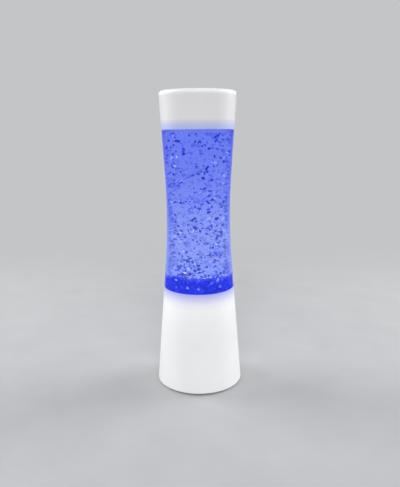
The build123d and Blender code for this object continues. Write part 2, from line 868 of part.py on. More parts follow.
# Bottle: clear hourglass, open below for its floor, with a threaded neck above
spigot_radius = rim_radius - shell_wall - film_gap
cap_rim_radius = outer_radius(cap_rim_height)
crown_radius = cap_rim_radius - cap_wall - fit_gap
crown_top = cap_rim_height + crown_rise
stopper_top = overall_height - cap_wall - stopper_headroom
stopper_ceiling = stopper_top - stopper_top_thickness
neck_top = stopper_ceiling - liner_thickness - 2 * bond_gap
neck_base = neck_top - neck_length
crown_root_radius = outer_radius(cap_rim_height - bottle_wall) - bottle_wall

with BuildPart() as bottle:
    with BuildSketch(Plane.XZ):
        with BuildLine():
            outer_low, outer_high = hourglass_side(0, base_rim_height, cap_rim_height)
            Polyline(
                outer_high,
                (crown_radius, cap_rim_height),
                (crown_radius, crown_top),
                (neck_radius, neck_base),
                (neck_radius, neck_base + neck_ring_rise),
                (neck_ring_radius, neck_base + neck_ring_rise),
                (neck_ring_radius, neck_base + neck_ring_rise + neck_ring_thickness),
                (neck_radius, neck_base + neck_ring_rise + neck_ring_thickness),
                (neck_radius, neck_top),
                (neck_bore_radius, neck_top),
                (neck_bore_radius, neck_base - bottle_wall),
                (crown_radius - bottle_wall, crown_top - bottle_wall),
                (crown_radius - bottle_wall, cap_rim_height - bottle_wall),
                (crown_root_radius, cap_rim_height - bottle_wall),
            )
            inner_low, _ = hourglass_side(
                bottle_wall,
                base_rim_height + bottle_wall,
                cap_rim_height - bottle_wall,
            )
            Polyline(
                inner_low,
                (spigot_radius - bottle_wall, base_rim_height + bottle_wall),
                (spigot_radius - bottle_wall, seat_height),
                (spigot_radius, seat_height),
                (spigot_radius, base_rim_height),
                outer_low,
            )
        make_face()
    revolve(axis=Axis.Z)
bottle.part.label = "bottle"

# Bottle floor: glued-in disc with the stirrer's pin, and a square ring that seals its rim
floor_thickness = 4
seal_size = 1.6
pin_radius = 1.5
floor_top = seat_height + floor_thickness
floor_radius = spigot_radius - bottle_wall - bond_gap
stirrer_lift = 0.5
stirrer_disc_height = 4.4
vane_height = 6
vane_width = 1.4
vane_count = 6
stirrer_hub_radius = 3.6
retainer_radius = 2.6
retainer_height = 1.5
stirrer_bottom = floor_top + stirrer_lift
stirrer_disc_top = stirrer_bottom + stirrer_disc_height
stirrer_top = stirrer_disc_top + vane_height
retainer_bottom = stirrer_top + fit_gap
pin_top = retainer_bottom + retainer_height

with BuildPart() as bottle_floor:
    with BuildSketch(Plane.XY.offset(seat_height)):
        Circle(floor_radius)
    extrude(amount=floor_thickness)
    with BuildSketch(Plane.XY.offset(seat_height + (floor_thickness - seal_size) / 2)):
        Circle(floor_radius + cut_over)
        Circle(floor_radius - seal_size, mode=Mode.SUBTRACT)
    extrude(amount=seal_size, mode=Mode.SUBTRACT)
    with BuildSketch(Plane.XY.offset(floor_top)):
        Circle(pin_radius)
    extrude(amount=pin_top - floor_top)
bottle_floor.part.label = "bottle_floor"

with BuildPart() as seal_ring:
    with BuildSketch(Plane.XY.offset(seat_height + (floor_thickness - seal_size) / 2)):
        Circle(floor_radius)
        Circle(floor_radius - seal_size, mode=Mode.SUBTRACT)
    extrude(amount=seal_size)
seal_ring.part.label = "seal_ring"

# Stirrer: a disc with paddles that turns on the floor's pin, dragged by the magnets below
stirrer_magnet_radius = 3
vane_tip_share = 0.72

with BuildPart() as stirrer:
    with BuildSketch(Plane.XY.offset(stirrer_bottom)):
        Circle(stirrer_radius)
    extrude(amount=stirrer_disc_height)
    with BuildSketch(Plane.XY.offset(stirrer_disc_top)):
        Circle(stirrer_hub_radius)
        with PolarLocations(0, vane_count):
            Rectangle(stirrer_radius, vane_width, align=(Align.MIN, Align.CENTER))
    extrude(amount=vane_height)
    # one cone trims the paddles from the disc's rim to their narrower tops
    with BuildSketch(Plane.XZ):
        with BuildLine():
            Polyline(
                (0, stirrer_bottom),
                (stirrer_radius, stirrer_bottom),
                (stirrer_radius, stirrer_disc_top),
                (stirrer_radius * vane_tip_share, stirrer_top),
                (0, stirrer_top),
                close=True,
            )
        make_face()
    revolve(axis=Axis.Z, mode=Mode.INTERSECT)
    with BuildSketch(Plane.XY.offset(stirrer_bottom)):
        Circle(pin_radius + running_gap)
    extrude(amount=stirrer_top - stirrer_bottom, mode=Mode.SUBTRACT)
    with BuildSketch(Plane.XY.offset(stirrer_bottom)):
        with PolarLocations(magnet_offset, magnet_count):
            Circle(stirrer_magnet_radius + bond_gap)
    extrude(amount=magnet_thickness + bond_gap, mode=Mode.SUBTRACT)
stirrer.part.label = "stirrer"

with BuildPart() as stirrer_magnets:
    with BuildSketch(Plane.XY.offset(stirrer_bottom)):
        with PolarLocations(magnet_offset, magnet_count):
            Circle(stirrer_magnet_radius)
    extrude(amount=magnet_thickness)
stirrer_magnets.part.label = "stirrer_magnets"

with BuildPart() as stirrer_retainer:
    with BuildSketch(Plane.XY.offset(retainer_bottom)):
        Circle(retainer_radius)
        Circle(pin_radius + bond_gap, mode=Mode.SUBTRACT)
    extrude(amount=retainer_height)
stirrer_retainer.part.label = "stirrer_retainer"

# What the bottle holds: the liquid up to the crown, and the glitter that has sunk to the wall's foot
fill_height = crown_top - bottle_wall - film_gap
settled_rise = 15
settled_height = base_rim_height + settled_rise
settled_toe_radius = 17
settled_sag_share = 0.32
pocket_gap = 0.6


def bottle_content():
    """Everything inside the bottle, from its floor to the fill level."""
    with BuildPart() as content:
        with BuildSketch(Plane.XZ):
            with BuildLine():
                low_end, high_end = hourglass_side(
                    bottle_wall + film_gap,
                    base_rim_height + bottle_wall + film_gap,
                    cap_rim_height - bottle_wall - film_gap,
                )
                Polyline(
                    high_end,
                    (crown_radius - bottle_wall - film_gap, high_end[1]),
                    (crown_radius - bottle_wall - film_gap, fill_height),
                    (0, fill_height),
                    (0, floor_top + film_gap),
                    (spigot_radius - bottle_wall - film_gap, floor_top + film_gap),
                    (spigot_radius - bottle_wall - film_gap, low_end[1]),
                    low_end,
                )
            make_face()
        revolve(axis=Axis.Z)
    return content.part


def settled_zone():
    """The space under the slope of sunken glitter, as a ring wider than the bottle."""
    outer_wall = outer_radius(base_rim_height)
    toe = (settled_toe_radius, floor_top)
    crest = (outer_radius(settled_height) - bottle_wall - film_gap, settled_height)
    middle = (
        (toe[0] + crest[0]) / 2,
        toe[1] + (crest[1] - toe[1]) * settled_sag_share,
    )
    with BuildPart() as zone:
        with BuildSketch(Plane.XZ):
            with BuildLine():
                ThreePointArc(toe, middle, crest)
                Polyline(crest, (outer_wall, settled_height), (outer_wall, floor_top), toe)
            make_face()
        revolve(axis=Axis.Z)
    return zone.part


with BuildPart() as settled_glitter:
    add(bottle_content())
    add(settled_zone(), mode=Mode.INTERSECT)
settled_glitter.part.label = "settled_glitter"

with BuildPart() as glitter_liquid:
    add(bottle_content())
    add(settled_zone(), mode=Mode.SUBTRACT)
    with BuildSketch(Plane.XY.offset(floor_top)):
        Circle(stirrer_radius + pocket_gap)
    extrude(amount=pin_top + pocket_gap - floor_top, mode=Mode.SUBTRACT)
glitter_liquid.part.label = "glitter_liquid"

# Floating flakes: cut hexagons spread by the golden angle, each tilted its own way
flake_count = 66
flake_radius = 1.3
flake_thickness = 0.2
flake_corners = 6
flake_end_gap = 4
flake_low = settled_height + flake_end_gap
flake_high = cap_rim_height - flake_end_gap
flake_wall_gap = 2.2
golden_angle = 180 * (3 - sqrt(5))
radius_stride_share = 0.7548777
tilt_stride = 47.3
turn_stride = 71.9


def flake_place(index):
    """Where one flake floats, and how it is turned."""
    share = (index + 0.5) / flake_count
    height = flake_low + share * (flake_high - flake_low)
    reach = outer_radius(height) - bottle_wall - flake_wall_gap
    radius = reach * sqrt((0.5 + index * radius_stride_share) % 1)
    angle = radians(index * golden_angle)
    return Location(
        (radius * cos(angle), radius * sin(angle), height),
        (index * tilt_stride, index * turn_stride, index * golden_angle),
    )


with BuildPart() as flake:
    with BuildSketch(Plane.XY.offset(-flake_thickness / 2)):
        RegularPolygon(flake_radius, flake_corners)
    extrude(amount=flake_thickness)

with BuildPart() as suspended_glitter:
    with Locations(*[flake_place(index) for index in range(flake_count)]):
        add(flake.part)
suspended_glitter.part.label = "suspended_glitter"

# Stopper: knurled screw closure on the neck, with a soft liner that seals it
stopper_wall = 1.8
stopper_skirt = 11.5
thread_gap = 0.5
knurl_count = 24
knurl_depth = 0.4
knurl_radius = 0.8
stopper_edge = 0.6
liner_bottom = neck_top + bond_gap
liner_radius = neck_radius + thread_gap - bond_gap
stopper_radius = neck_radius + thread_gap + stopper_wall

with BuildPart() as stopper_gasket:
    with BuildSketch(Plane.XY.offset(liner_bottom)):
        Circle(liner_radius)
    extrude(amount=liner_thickness)
stopper_gasket.part.label = "stopper_gasket"

with BuildPart() as bottle_stopper:
    with BuildSketch(Plane.XY.offset(stopper_top)):
        Circle(stopper_radius)
    extrude(amount=-(stopper_top_thickness + stopper_skirt))
    chamfer(bottle_stopper.edges().sort_by(Axis.Z)[-1], stopper_edge)
    with BuildSketch(Plane.XY.offset(stopper_ceiling)):
        Circle(neck_radius + thread_gap)
    extrude(amount=-(stopper_skirt + cut_over), mode=Mode.SUBTRACT)
    with BuildSketch(Plane.XY.offset(stopper_ceiling)):
        with PolarLocations(stopper_radius + knurl_radius - knurl_depth, knurl_count):
            Circle(knurl_radius)
    extrude(amount=-(stopper_skirt + cut_over), mode=Mode.SUBTRACT)
bottle_stopper.part.label = "bottle_stopper"

# Top cap: hollow cover that drops over the crown, with a ribbed socket round the stopper
cap_edge_radius = 3.5
cap_lip_radius = 0.5
socket_wall = 1.6
socket_depth = 9
cap_rib_count = 6
cap_rib_width = 1.5
cap_rib_depth = 6
cap_ceiling = overall_height - cap_wall
socket_radius = stopper_radius + fit_gap
cap_inner_top_radius = top_radius - cap_wall
cap_rim_inner_radius = cap_rim_radius - cap_wall

with BuildPart() as top_cap:
    with BuildSketch(Plane.XZ):
        with BuildLine():
            Polyline(
                (0, cap_rim_height),
                (cap_rim_radius, cap_rim_height),
                (top_radius, overall_height),
                (0, overall_height),
                close=True,
            )
        make_face()
    revolve(axis=Axis.Z)
    fillet(top_cap.edges().sort_by(Axis.Z)[-1], cap_edge_radius)
    fillet(top_cap.edges().sort_by(Axis.Z)[0], cap_lip_radius)
    cap_form = top_cap.part
    with BuildSketch(Plane.XZ):
        with BuildLine():
            Polyline(
                (0, cap_rim_height - cut_over),
                (cap_rim_inner_radius, cap_rim_height - cut_over),
                (cap_rim_inner_radius, cap_rim_height),
                (cap_inner_top_radius, cap_ceiling),
                (0, cap_ceiling),
                close=True,
            )
        make_face()
    revolve(axis=Axis.Z, mode=Mode.SUBTRACT)
    # ribs from the socket to the wall, then the socket itself
    with BuildSketch(Plane.XY.offset(cap_ceiling)):
        with PolarLocations(0, cap_rib_count):
            Rectangle(top_radius - cap_wall / 2, cap_rib_width, align=(Align.MIN, Align.CENTER))
    extrude(amount=-cap_rib_depth)
    with BuildSketch(Plane.XY.offset(cap_ceiling)):
        Circle(socket_radius + socket_wall)
    extrude(amount=-socket_depth)
    with BuildSketch(Plane.XY.offset(cap_ceiling)):
        Circle(socket_radius)
    extrude(amount=-(socket_depth + cut_over), mode=Mode.SUBTRACT)
    add(cap_form, mode=Mode.INTERSECT)
top_cap.part.label = "top_cap"

os.makedirs("parts", exist_ok=True)
for piece in (
    base_shell,
    bottom_cover,
    battery_door,
    door_screw,
    cover_screws,
    feet,
    batteries,
    battery_contacts,
    switch_body,
    switch_slider,
    switch_screws,
    light_deck,
    deck_screws,
    led_board,
    leds,
    board_components,
    motor,
    motor_screws,
    motor_shaft,
    magnet_hub,
    drive_magnets,
    battery_leads,
    motor_leads,
    bottle,
    bottle_floor,
    seal_ring,
    stirrer,
    stirrer_magnets,
    stirrer_retainer,
    settled_glitter,
    glitter_liquid,
    suspended_glitter,
    stopper_gasket,
    bottle_stopper,
    top_cap,
):
    export_step(piece.part, f"parts/{piece.part.label}.step")
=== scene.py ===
import math
import bpy
import numpy as np
from mathutils import Matrix, Vector


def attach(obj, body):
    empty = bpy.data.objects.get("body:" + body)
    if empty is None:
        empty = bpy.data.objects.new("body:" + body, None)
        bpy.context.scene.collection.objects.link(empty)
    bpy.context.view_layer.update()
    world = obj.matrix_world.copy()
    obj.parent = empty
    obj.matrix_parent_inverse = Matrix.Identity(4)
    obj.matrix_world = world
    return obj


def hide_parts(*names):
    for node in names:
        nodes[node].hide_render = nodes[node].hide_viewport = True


# Hourglass glitter lamp: lit blue liquid and film flakes in a clear bottle, between a white
# plastic base and cap. Everything is in metres in the CAD frame, and the sizes in the
# dictionaries are in millimetres.

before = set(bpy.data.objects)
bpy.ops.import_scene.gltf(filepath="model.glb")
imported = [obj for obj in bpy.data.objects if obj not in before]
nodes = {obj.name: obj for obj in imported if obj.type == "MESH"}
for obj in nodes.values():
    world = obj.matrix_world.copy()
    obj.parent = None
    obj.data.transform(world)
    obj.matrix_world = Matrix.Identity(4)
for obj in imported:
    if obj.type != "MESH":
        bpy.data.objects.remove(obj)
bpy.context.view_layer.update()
millimetre = 0.001
print("frame loaded:", len(nodes), "nodes")

# the outer form that base, bottle and cap follow, as the CAD has it
lampForm = {
    "footRadius": 47.5,
    "footHeight": 1.5,
    "topRadius": 40.8,
    "topHeight": 320.0,
    "waistRadius": 34.5,
    "waistHeight": 192.5,
    "waistArc": 699.66,
    "baseRim": 110.5,
    "capRim": 280.5,
}


def flankTangent(endRadius, endHeight):
    # Where a straight flank from the end point touches the waist arc: the run to it is the root of
    # the distance to the arc's centre squared less the arc's radius squared, and its heading is
    # the centre's own plus or minus the arcsine of radius over distance.
    across = lampForm["waistRadius"] + lampForm["waistArc"] - endRadius
    along = lampForm["waistHeight"] - endHeight
    reach = math.hypot(across, along)
    run = math.sqrt(reach**2 - lampForm["waistArc"] ** 2)
    swing = math.copysign(math.asin(lampForm["waistArc"] / reach), along)
    heading = math.atan2(along, across) + swing
    return endRadius + run * math.cos(heading), endHeight + run * math.sin(heading)


def outerRadius(height):
    # Cone, arc, cone: below and above the two tangent points the radius is linear in height, and
    # between them it is the arc's centre less the root of arc radius squared less rise squared.
    height = np.asarray(height, float)
    low = flankTangent(lampForm["footRadius"], lampForm["footHeight"])
    high = flankTangent(lampForm["topRadius"], lampForm["topHeight"])
    centre = lampForm["waistRadius"] + lampForm["waistArc"]
    rise = np.clip(height, low[1], high[1]) - lampForm["waistHeight"]
    arc = centre - np.sqrt(lampForm["waistArc"] ** 2 - rise**2)
    lowCone = np.interp(height, [lampForm["footHeight"], low[1]], [lampForm["footRadius"], low[0]])
    highCone = np.interp(height, [high[1], lampForm["topHeight"]], [high[0], lampForm["topRadius"]])
    return np.where(height < low[1], lowCone, np.where(height > high[1], highCone, arc))


def addObject(name, data):
    # a new object in the scene, at the origin and unturned
    made = bpy.data.objects.new(name, data)
    bpy.context.scene.collection.objects.link(made)
    return made


# The camera stands where the curves of the photographed rims put it; angles are in degrees.
cameraPlace = {
    "across": 1.48,
    "back": -566.0,
    "height": 278.0,
    "pitchDown": 12.0,
    "roll": -0.43,
    "lens": 38.73,
    "sensor": 36.0,
}


def addCamera():
    # a camera looks straight down at first, so it is rolled about that line of sight and then
    # lifted about X by 90 degrees less the pitch
    s = cameraPlace
    data = bpy.data.cameras.new("photoCamera")
    data.lens, data.sensor_width = s["lens"], s["sensor"]
    camera = addObject("photoCamera", data)
    lift = Matrix.Rotation(math.radians(90 - s["pitchDown"]), 3, "X")
    roll = Matrix.Rotation(math.radians(s["roll"]), 3, "Z")
    camera.location = Vector((s["across"], s["back"], s["height"])) * millimetre
    camera.rotation_euler = (lift @ roll).to_euler()
    bpy.context.scene.camera = camera


addCamera()
print("camera placed")

noiseLow, noiseHigh = 0.3, 0.7  # nearly all values of a noise lie between these
plainStrength = 0.5  # how strongly the relief of a plain finish shows


def hexColour(code):
    # sRGB hex to linear: c / 12.92 near black, else ((c + 0.055) / 1.055) to the power 2.4
    parts = [int(code[i : i + 2], 16) / 255 for i in (1, 3, 5)]
    linear = [c / 12.92 if c <= 0.04045 else ((c + 0.055) / 1.055) ** 2.4 for c in parts]
    return (*linear, 1.0)


def addNode(tree, kind, settings=None, links=None):
    # One node. "stops" are a colour ramp's pairs of place and hex, other lower-case settings are
    # the node's own, and the rest, and numbers, are its sockets.
    node = tree.nodes.new(kind)
    for key, value in (settings or {}).items():
        if key == "stops":
            elements = node.color_ramp.elements
            while len(elements) < len(value):
                elements.new(0.5)
            for element, (place, code) in zip(elements, value):
                element.position = place
                element.color = hexColour(code)
        elif isinstance(key, str) and key.islower():
            setattr(node, key, value)
        else:
            node.inputs[key].default_value = value
    for key, source in (links or {}).items():
        tree.links.new(source, node.inputs[key])
    return node


def startMaterial(name, settings):
    # a material with one Principled shader wired to its output
    material = bpy.data.materials.new(name)
    material.use_nodes = True
    tree = material.node_tree
    tree.nodes.clear()
    shader = addNode(tree, "ShaderNodeBsdfPrincipled", settings)
    addNode(tree, "ShaderNodeOutputMaterial", {}, {"Surface": shader.outputs[0]})
    return material, tree, shader


def perSize(size):
    # a pattern's scale is one over the size of its features, here given in millimetres
    return 1 / (size * millimetre)


def mottled(dark, light):
    # stops that go from the dark to the light tone over a noise's range
    return [(noiseLow, dark), (noiseHigh, light)]


def heightShare(tree, low, high):
    # (z - low) / (high - low), kept between 0 and 1
    place = addNode(tree, "ShaderNodeTexCoord")
    split = addNode(tree, "ShaderNodeSeparateXYZ", {}, {0: place.outputs["Object"]})
    share = addNode(
        tree,
        "ShaderNodeMapRange",
        {"From Min": low * millimetre, "From Max": high * millimetre},
        {"Value": split.outputs[2]},
    )
    return share.outputs[0]


def addColours(tree, shader, source, base, glow=None):
    # base colour, and glow if there is one, are each a ramp of the same source
    for socket, stops in (("Base Color", base), ("Emission Color", glow)):
        if stops:
            ramp = addNode(tree, "ShaderNodeValToRGB", {"stops": stops}, {0: source})
            tree.links.new(ramp.outputs[0], shader.inputs[socket])


def addSurface(tree, shader, rough, roughNoise, relief, reliefNoise):
    # Roughness goes from its first to its second value over its noise's range. Relief is the
    # bump's strength and its height in millimetres where its noise is 1.
    spread = addNode(
        tree,
        "ShaderNodeMapRange",
        {"From Min": noiseLow, "From Max": noiseHigh, "To Min": rough[0], "To Max": rough[1]},
        {"Value": roughNoise.outputs[0]},
    )
    bump = addNode(
        tree,
        "ShaderNodeBump",
        {"Strength": relief[0], "Distance": relief[1] * millimetre},
        {"Height": reliefNoise.outputs[0]},
    )
    tree.links.new(spread.outputs[0], shader.inputs["Roughness"])
    tree.links.new(bump.outputs[0], shader.inputs["Normal"])


def finish(look):
    # A plain finish: patches mix the dark and the light tone, and a finer grain gives roughness
    # and relief. Each is a noise at its real size, drawn out where stretch is under 1.
    settings = {
        "Metallic": look.get("metallic", 0.0),
        "Specular IOR Level": look.get("specular", 0.5),
    }
    material, tree, shader = startMaterial(look["name"], settings)
    place = addNode(tree, "ShaderNodeTexCoord")
    drawn = addNode(
        tree,
        "ShaderNodeMapping",
        {"Scale": look.get("stretch", (1, 1, 1))},
        {"Vector": place.outputs["Object"]},
    )
    patches = addNode(
        tree,
        "ShaderNodeTexNoise",
        {"Scale": perSize(look["patch"]), "Detail": 4.0, "Roughness": 0.6},
        {"Vector": drawn.outputs[0]},
    )
    grain = addNode(
        tree,
        "ShaderNodeTexNoise",
        {"Scale": perSize(look["grain"]), "Detail": 3.0, "Roughness": 0.55},
        {"Vector": drawn.outputs[0]},
    )
    addColours(tree, shader, patches.outputs[0], mottled(look["dark"], look["light"]))
    addSurface(tree, shader, look["rough"], grain, (plainStrength, look["relief"]), grain)
    return material


def dress(material, *names):
    # each named CAD node gets this material in place of its own
    for name in names:
        mesh = nodes[name].data
        mesh.materials.clear()
        mesh.materials.append(material)


# Polystyrene, injection moulded in a polished tool: a bright even white with a faint orange peel.
# The blue light inside is painted a little way into it from the bottle's ends, as glow and tint.
whitePlastic = {
    "flow": 45.0,
    "peel": 1.6,
    "peelRelief": (0.4, 0.012),
    "rough": (0.42, 0.5),
}

# seam is the height where the plastic meets the bottle and the height where the ramps end; the
# tints multiply the body's colour and are painted light and shade, and the glows are painted light
# that stands in for the light coming through the wall
# base: the tint paints a blue reflection of the glow near the seam; the glow is painted blue light
# at the seam, then painted grey light that brightens the shell below it
baseWhite = {
    "name": "mouldedStyreneBase",
    "seam": (110.5, 60.0),
    "body": [(0.35, "#f5f5f6"), (0.65, "#f8f8f9")],
    "paintedLightTints": [(0.0, "#b4b6f6"), (0.079, "#d4d6fb"), (0.217, "#f6f6ff"), (0.362, "#ffffff")],
    "glows": [
        (0.0, "#14185c"), (0.079, "#14163e"), (0.2, "#38383f"), (0.32, "#434345"),
        (0.5, "#373738"), (0.6, "#2e2e2f"), (0.8, "#1c1c1d"), (1.0, "#000000"),
    ],
}
# cap: the body is painted darker than the base's as painted shade; the tint paints a blue
# reflection of the glow at the seam, shade over the wall and a highlight on the rounded rim; the
# glow is painted blue light at the seam
capWhite = {
    "name": "mouldedStyreneCap",
    "seam": (280.5, 320.0),
    "body": [(0.35, "#ededee"), (0.65, "#f2f2f3")],
    "paintedLightTints": [
        (0.0, "#b4c2f6"), (0.133, "#c8d2ee"), (0.226, "#e2e2ee"), (0.266, "#eeedee"),
        (0.85, "#ebebeb"), (0.92, "#fcfcfc"), (0.985, "#fcfcfc"), (1.0, "#eaeaea"),
    ],
    "glows": [(0.0, "#121848"), (0.133, "#0c1030"), (0.226, "#040408"), (0.266, "#000000")],
}


def glossWhite(look):
    # colour is the body's, mottled by the flow of the melt, times the painted light and shade of
    # the tint at this height; the glow is painted light
    s = whitePlastic
    material, tree, shader = startMaterial(look["name"], {"IOR": 1.59, "Emission Strength": 1.0})
    share = heightShare(tree, *look["seam"])
    place = addNode(tree, "ShaderNodeTexCoord")
    flow = addNode(
        tree,
        "ShaderNodeTexNoise",
        {"Scale": perSize(s["flow"]), "Detail": 3.0},
        {"Vector": place.outputs["Object"]},
    )
    peel = addNode(
        tree,
        "ShaderNodeTexNoise",
        {"Scale": perSize(s["peel"]), "Detail": 2.0},
        {"Vector": place.outputs["Object"]},
    )
    body = addNode(tree, "ShaderNodeValToRGB", {"stops": look["body"]}, {0: flow.outputs[0]})
    paintedTint = addNode(tree, "ShaderNodeValToRGB", {"stops": look["paintedLightTints"]}, {0: share})
    paintedBody = addNode(
        tree,
        "ShaderNodeMix",
        {"data_type": "RGBA", "blend_type": "MULTIPLY", "Factor": 1.0},
        {6: body.outputs[0], 7: paintedTint.outputs[0]},
    )
    glow = addNode(tree, "ShaderNodeValToRGB", {"stops": look["glows"]}, {0: share})
    tree.links.new(paintedBody.outputs[2], shader.inputs["Base Color"])
    tree.links.new(glow.outputs[0], shader.inputs["Emission Color"])
    addSurface(tree, shader, s["rough"], flow, s["peelRelief"], peel)
    return material


dress(glossWhite(baseWhite), "base_shell")
dress(glossWhite(capWhite), "top_cap")

# The plain finishes of the inner and lower pieces: sizes of patch and grain, and depth of relief,
# are in millimetres.
plainFinishes = [
    # ABS from a spark-eroded tool: even fine matt grain, softer and greyer than the gloss shell
    {
        "name": "sparkTexturedAbs",
        "nodes": ("bottom_cover", "battery_door"),
        "dark": "#d3d5d8", "light": "#dfe0e3", "patch": 30, "grain": 0.45,
        "rough": (0.42, 0.6), "relief": 0.06,
    },
    # acetal, moulded smooth: warm milky white with a waxy sheen
    {
        "name": "naturalAcetal",
        "nodes": ("light_deck", "magnet_hub", "stirrer", "stirrer_retainer"),
        "dark": "#c9c6bd", "light": "#d8d6cf", "patch": 12, "grain": 0.8,
        "rough": (0.3, 0.42), "relief": 0.02,
    },
    # nylon, moulded black: deep black, slightly dusty matt
    {
        "name": "mouldedBlackNylon",
        "nodes": ("switch_body", "switch_slider"),
        "dark": "#151617", "light": "#202123", "patch": 6, "grain": 0.3,
        "rough": (0.4, 0.55), "relief": 0.02,
    },
    # rubber, compression moulded: dark grey, dull, picks up dust in its grain
    {
        "name": "mouldedRubberFoot",
        "nodes": ("feet",),
        "dark": "#2b2c2e", "light": "#3b3c3f", "patch": 3, "grain": 0.4,
        "rough": (0.7, 0.88), "relief": 0.05, "specular": 0.3,
    },
    # silicone rubber, moulded: grey, satin
    {
        "name": "mouldedSilicone",
        "nodes": ("seal_ring", "stopper_gasket"),
        "dark": "#8d9093", "light": "#a0a3a6", "patch": 5, "grain": 0.5,
        "rough": (0.45, 0.6), "relief": 0.02, "specular": 0.35,
    },
    # steel, bright zinc plated: bluish silver with a slightly cloudy plating
    {
        "name": "zincPlatedSteel",
        "nodes": ("door_screw", "cover_screws", "switch_screws", "deck_screws", "motor_screws"),
        "dark": "#b9bcbf", "light": "#d2d3d2", "patch": 1.5, "grain": 0.25,
        "rough": (0.25, 0.4), "relief": 0.01, "metallic": 1.0,
    },
    # phosphor bronze strip, rolled and nickel plated: warm silver, drawn out along its length
    {
        "name": "rolledNickelStrip",
        "nodes": ("battery_contacts",),
        "dark": "#bdb6a6", "light": "#d3cdbf", "patch": 2, "grain": 0.3,
        "rough": (0.22, 0.36), "relief": 0.008, "metallic": 1.0, "stretch": (1, 0.15, 1),
    },
    # glass laminate with solder mask: dark green, semi-gloss, a faint weave under the mask
    {
        "name": "solderMaskedLaminate",
        "nodes": ("led_board",),
        "dark": "#0e4a26", "light": "#14602f", "patch": 2.5, "grain": 0.6,
        "rough": (0.25, 0.38), "relief": 0.015,
    },
    # epoxy, transfer moulded: charcoal, matt
    {
        "name": "mouldedEpoxyChip",
        "nodes": ("board_components",),
        "dark": "#191919", "light": "#262627", "patch": 1.5, "grain": 0.2,
        "rough": (0.5, 0.65), "relief": 0.015,
    },
    # steel, deep drawn: a bright can with faint rings from the draw
    {
        "name": "drawnSteelCan",
        "nodes": ("motor",),
        "dark": "#aeb0b1", "light": "#c6c7c6", "patch": 6, "grain": 0.5,
        "rough": (0.24, 0.38), "relief": 0.01, "metallic": 1.0, "stretch": (0.12, 0.12, 1),
    },
    # steel, centreless ground: mirror-bright with fine rings round it
    {
        "name": "groundSteelShaft",
        "nodes": ("motor_shaft",),
        "dark": "#c2c3c4", "light": "#d6d7d7", "patch": 3, "grain": 0.2,
        "rough": (0.12, 0.22), "relief": 0.004, "metallic": 1.0, "stretch": (0.2, 0.2, 1),
    },
    # sintered magnet, nickel plated: a warm mirror with slight pitting
    {
        "name": "nickelPlatedMagnet",
        "nodes": ("drive_magnets", "stirrer_magnets"),
        "dark": "#c4c0b7", "light": "#d8d5cd", "patch": 2, "grain": 0.3,
        "rough": (0.14, 0.26), "relief": 0.008, "metallic": 1.0,
    },
    # vinyl insulation, extruded: soft satin red
    {
        "name": "extrudedVinylRed",
        "nodes": ("battery_leads",),
        "dark": "#a11414", "light": "#b81d1a", "patch": 4, "grain": 0.4,
        "rough": (0.35, 0.48), "relief": 0.01,
    },
    # vinyl insulation, extruded: soft satin black
    {
        "name": "extrudedVinylBlack",
        "nodes": ("motor_leads",),
        "dark": "#161617", "light": "#222224", "patch": 4, "grain": 0.4,
        "rough": (0.35, 0.48), "relief": 0.01,
    },
    # polypropylene, moulded: soft white, waxier than the shell
    {
        "name": "mouldedPolypropylene",
        "nodes": ("bottle_stopper",),
        "dark": "#d5d6d8", "light": "#e2e3e4", "patch": 9, "grain": 0.7,
        "rough": (0.34, 0.46), "relief": 0.02,
    },
]
for look in plainFinishes:
    dress(finish(look), *look["nodes"])

cellLook = {
    "rowPitch": 14.7,
    "bandFrom": 11.0,
    "canEnd": 24.0,
    "sleeve": "#17181b",
    "band": "#b8763c",
    "metal": ("#b4b4b0", "#c8c8c4"),
    "wrinkle": 1.8,
    "rough": (0.2, 0.3),
    "relief": (0.4, 0.03),
}


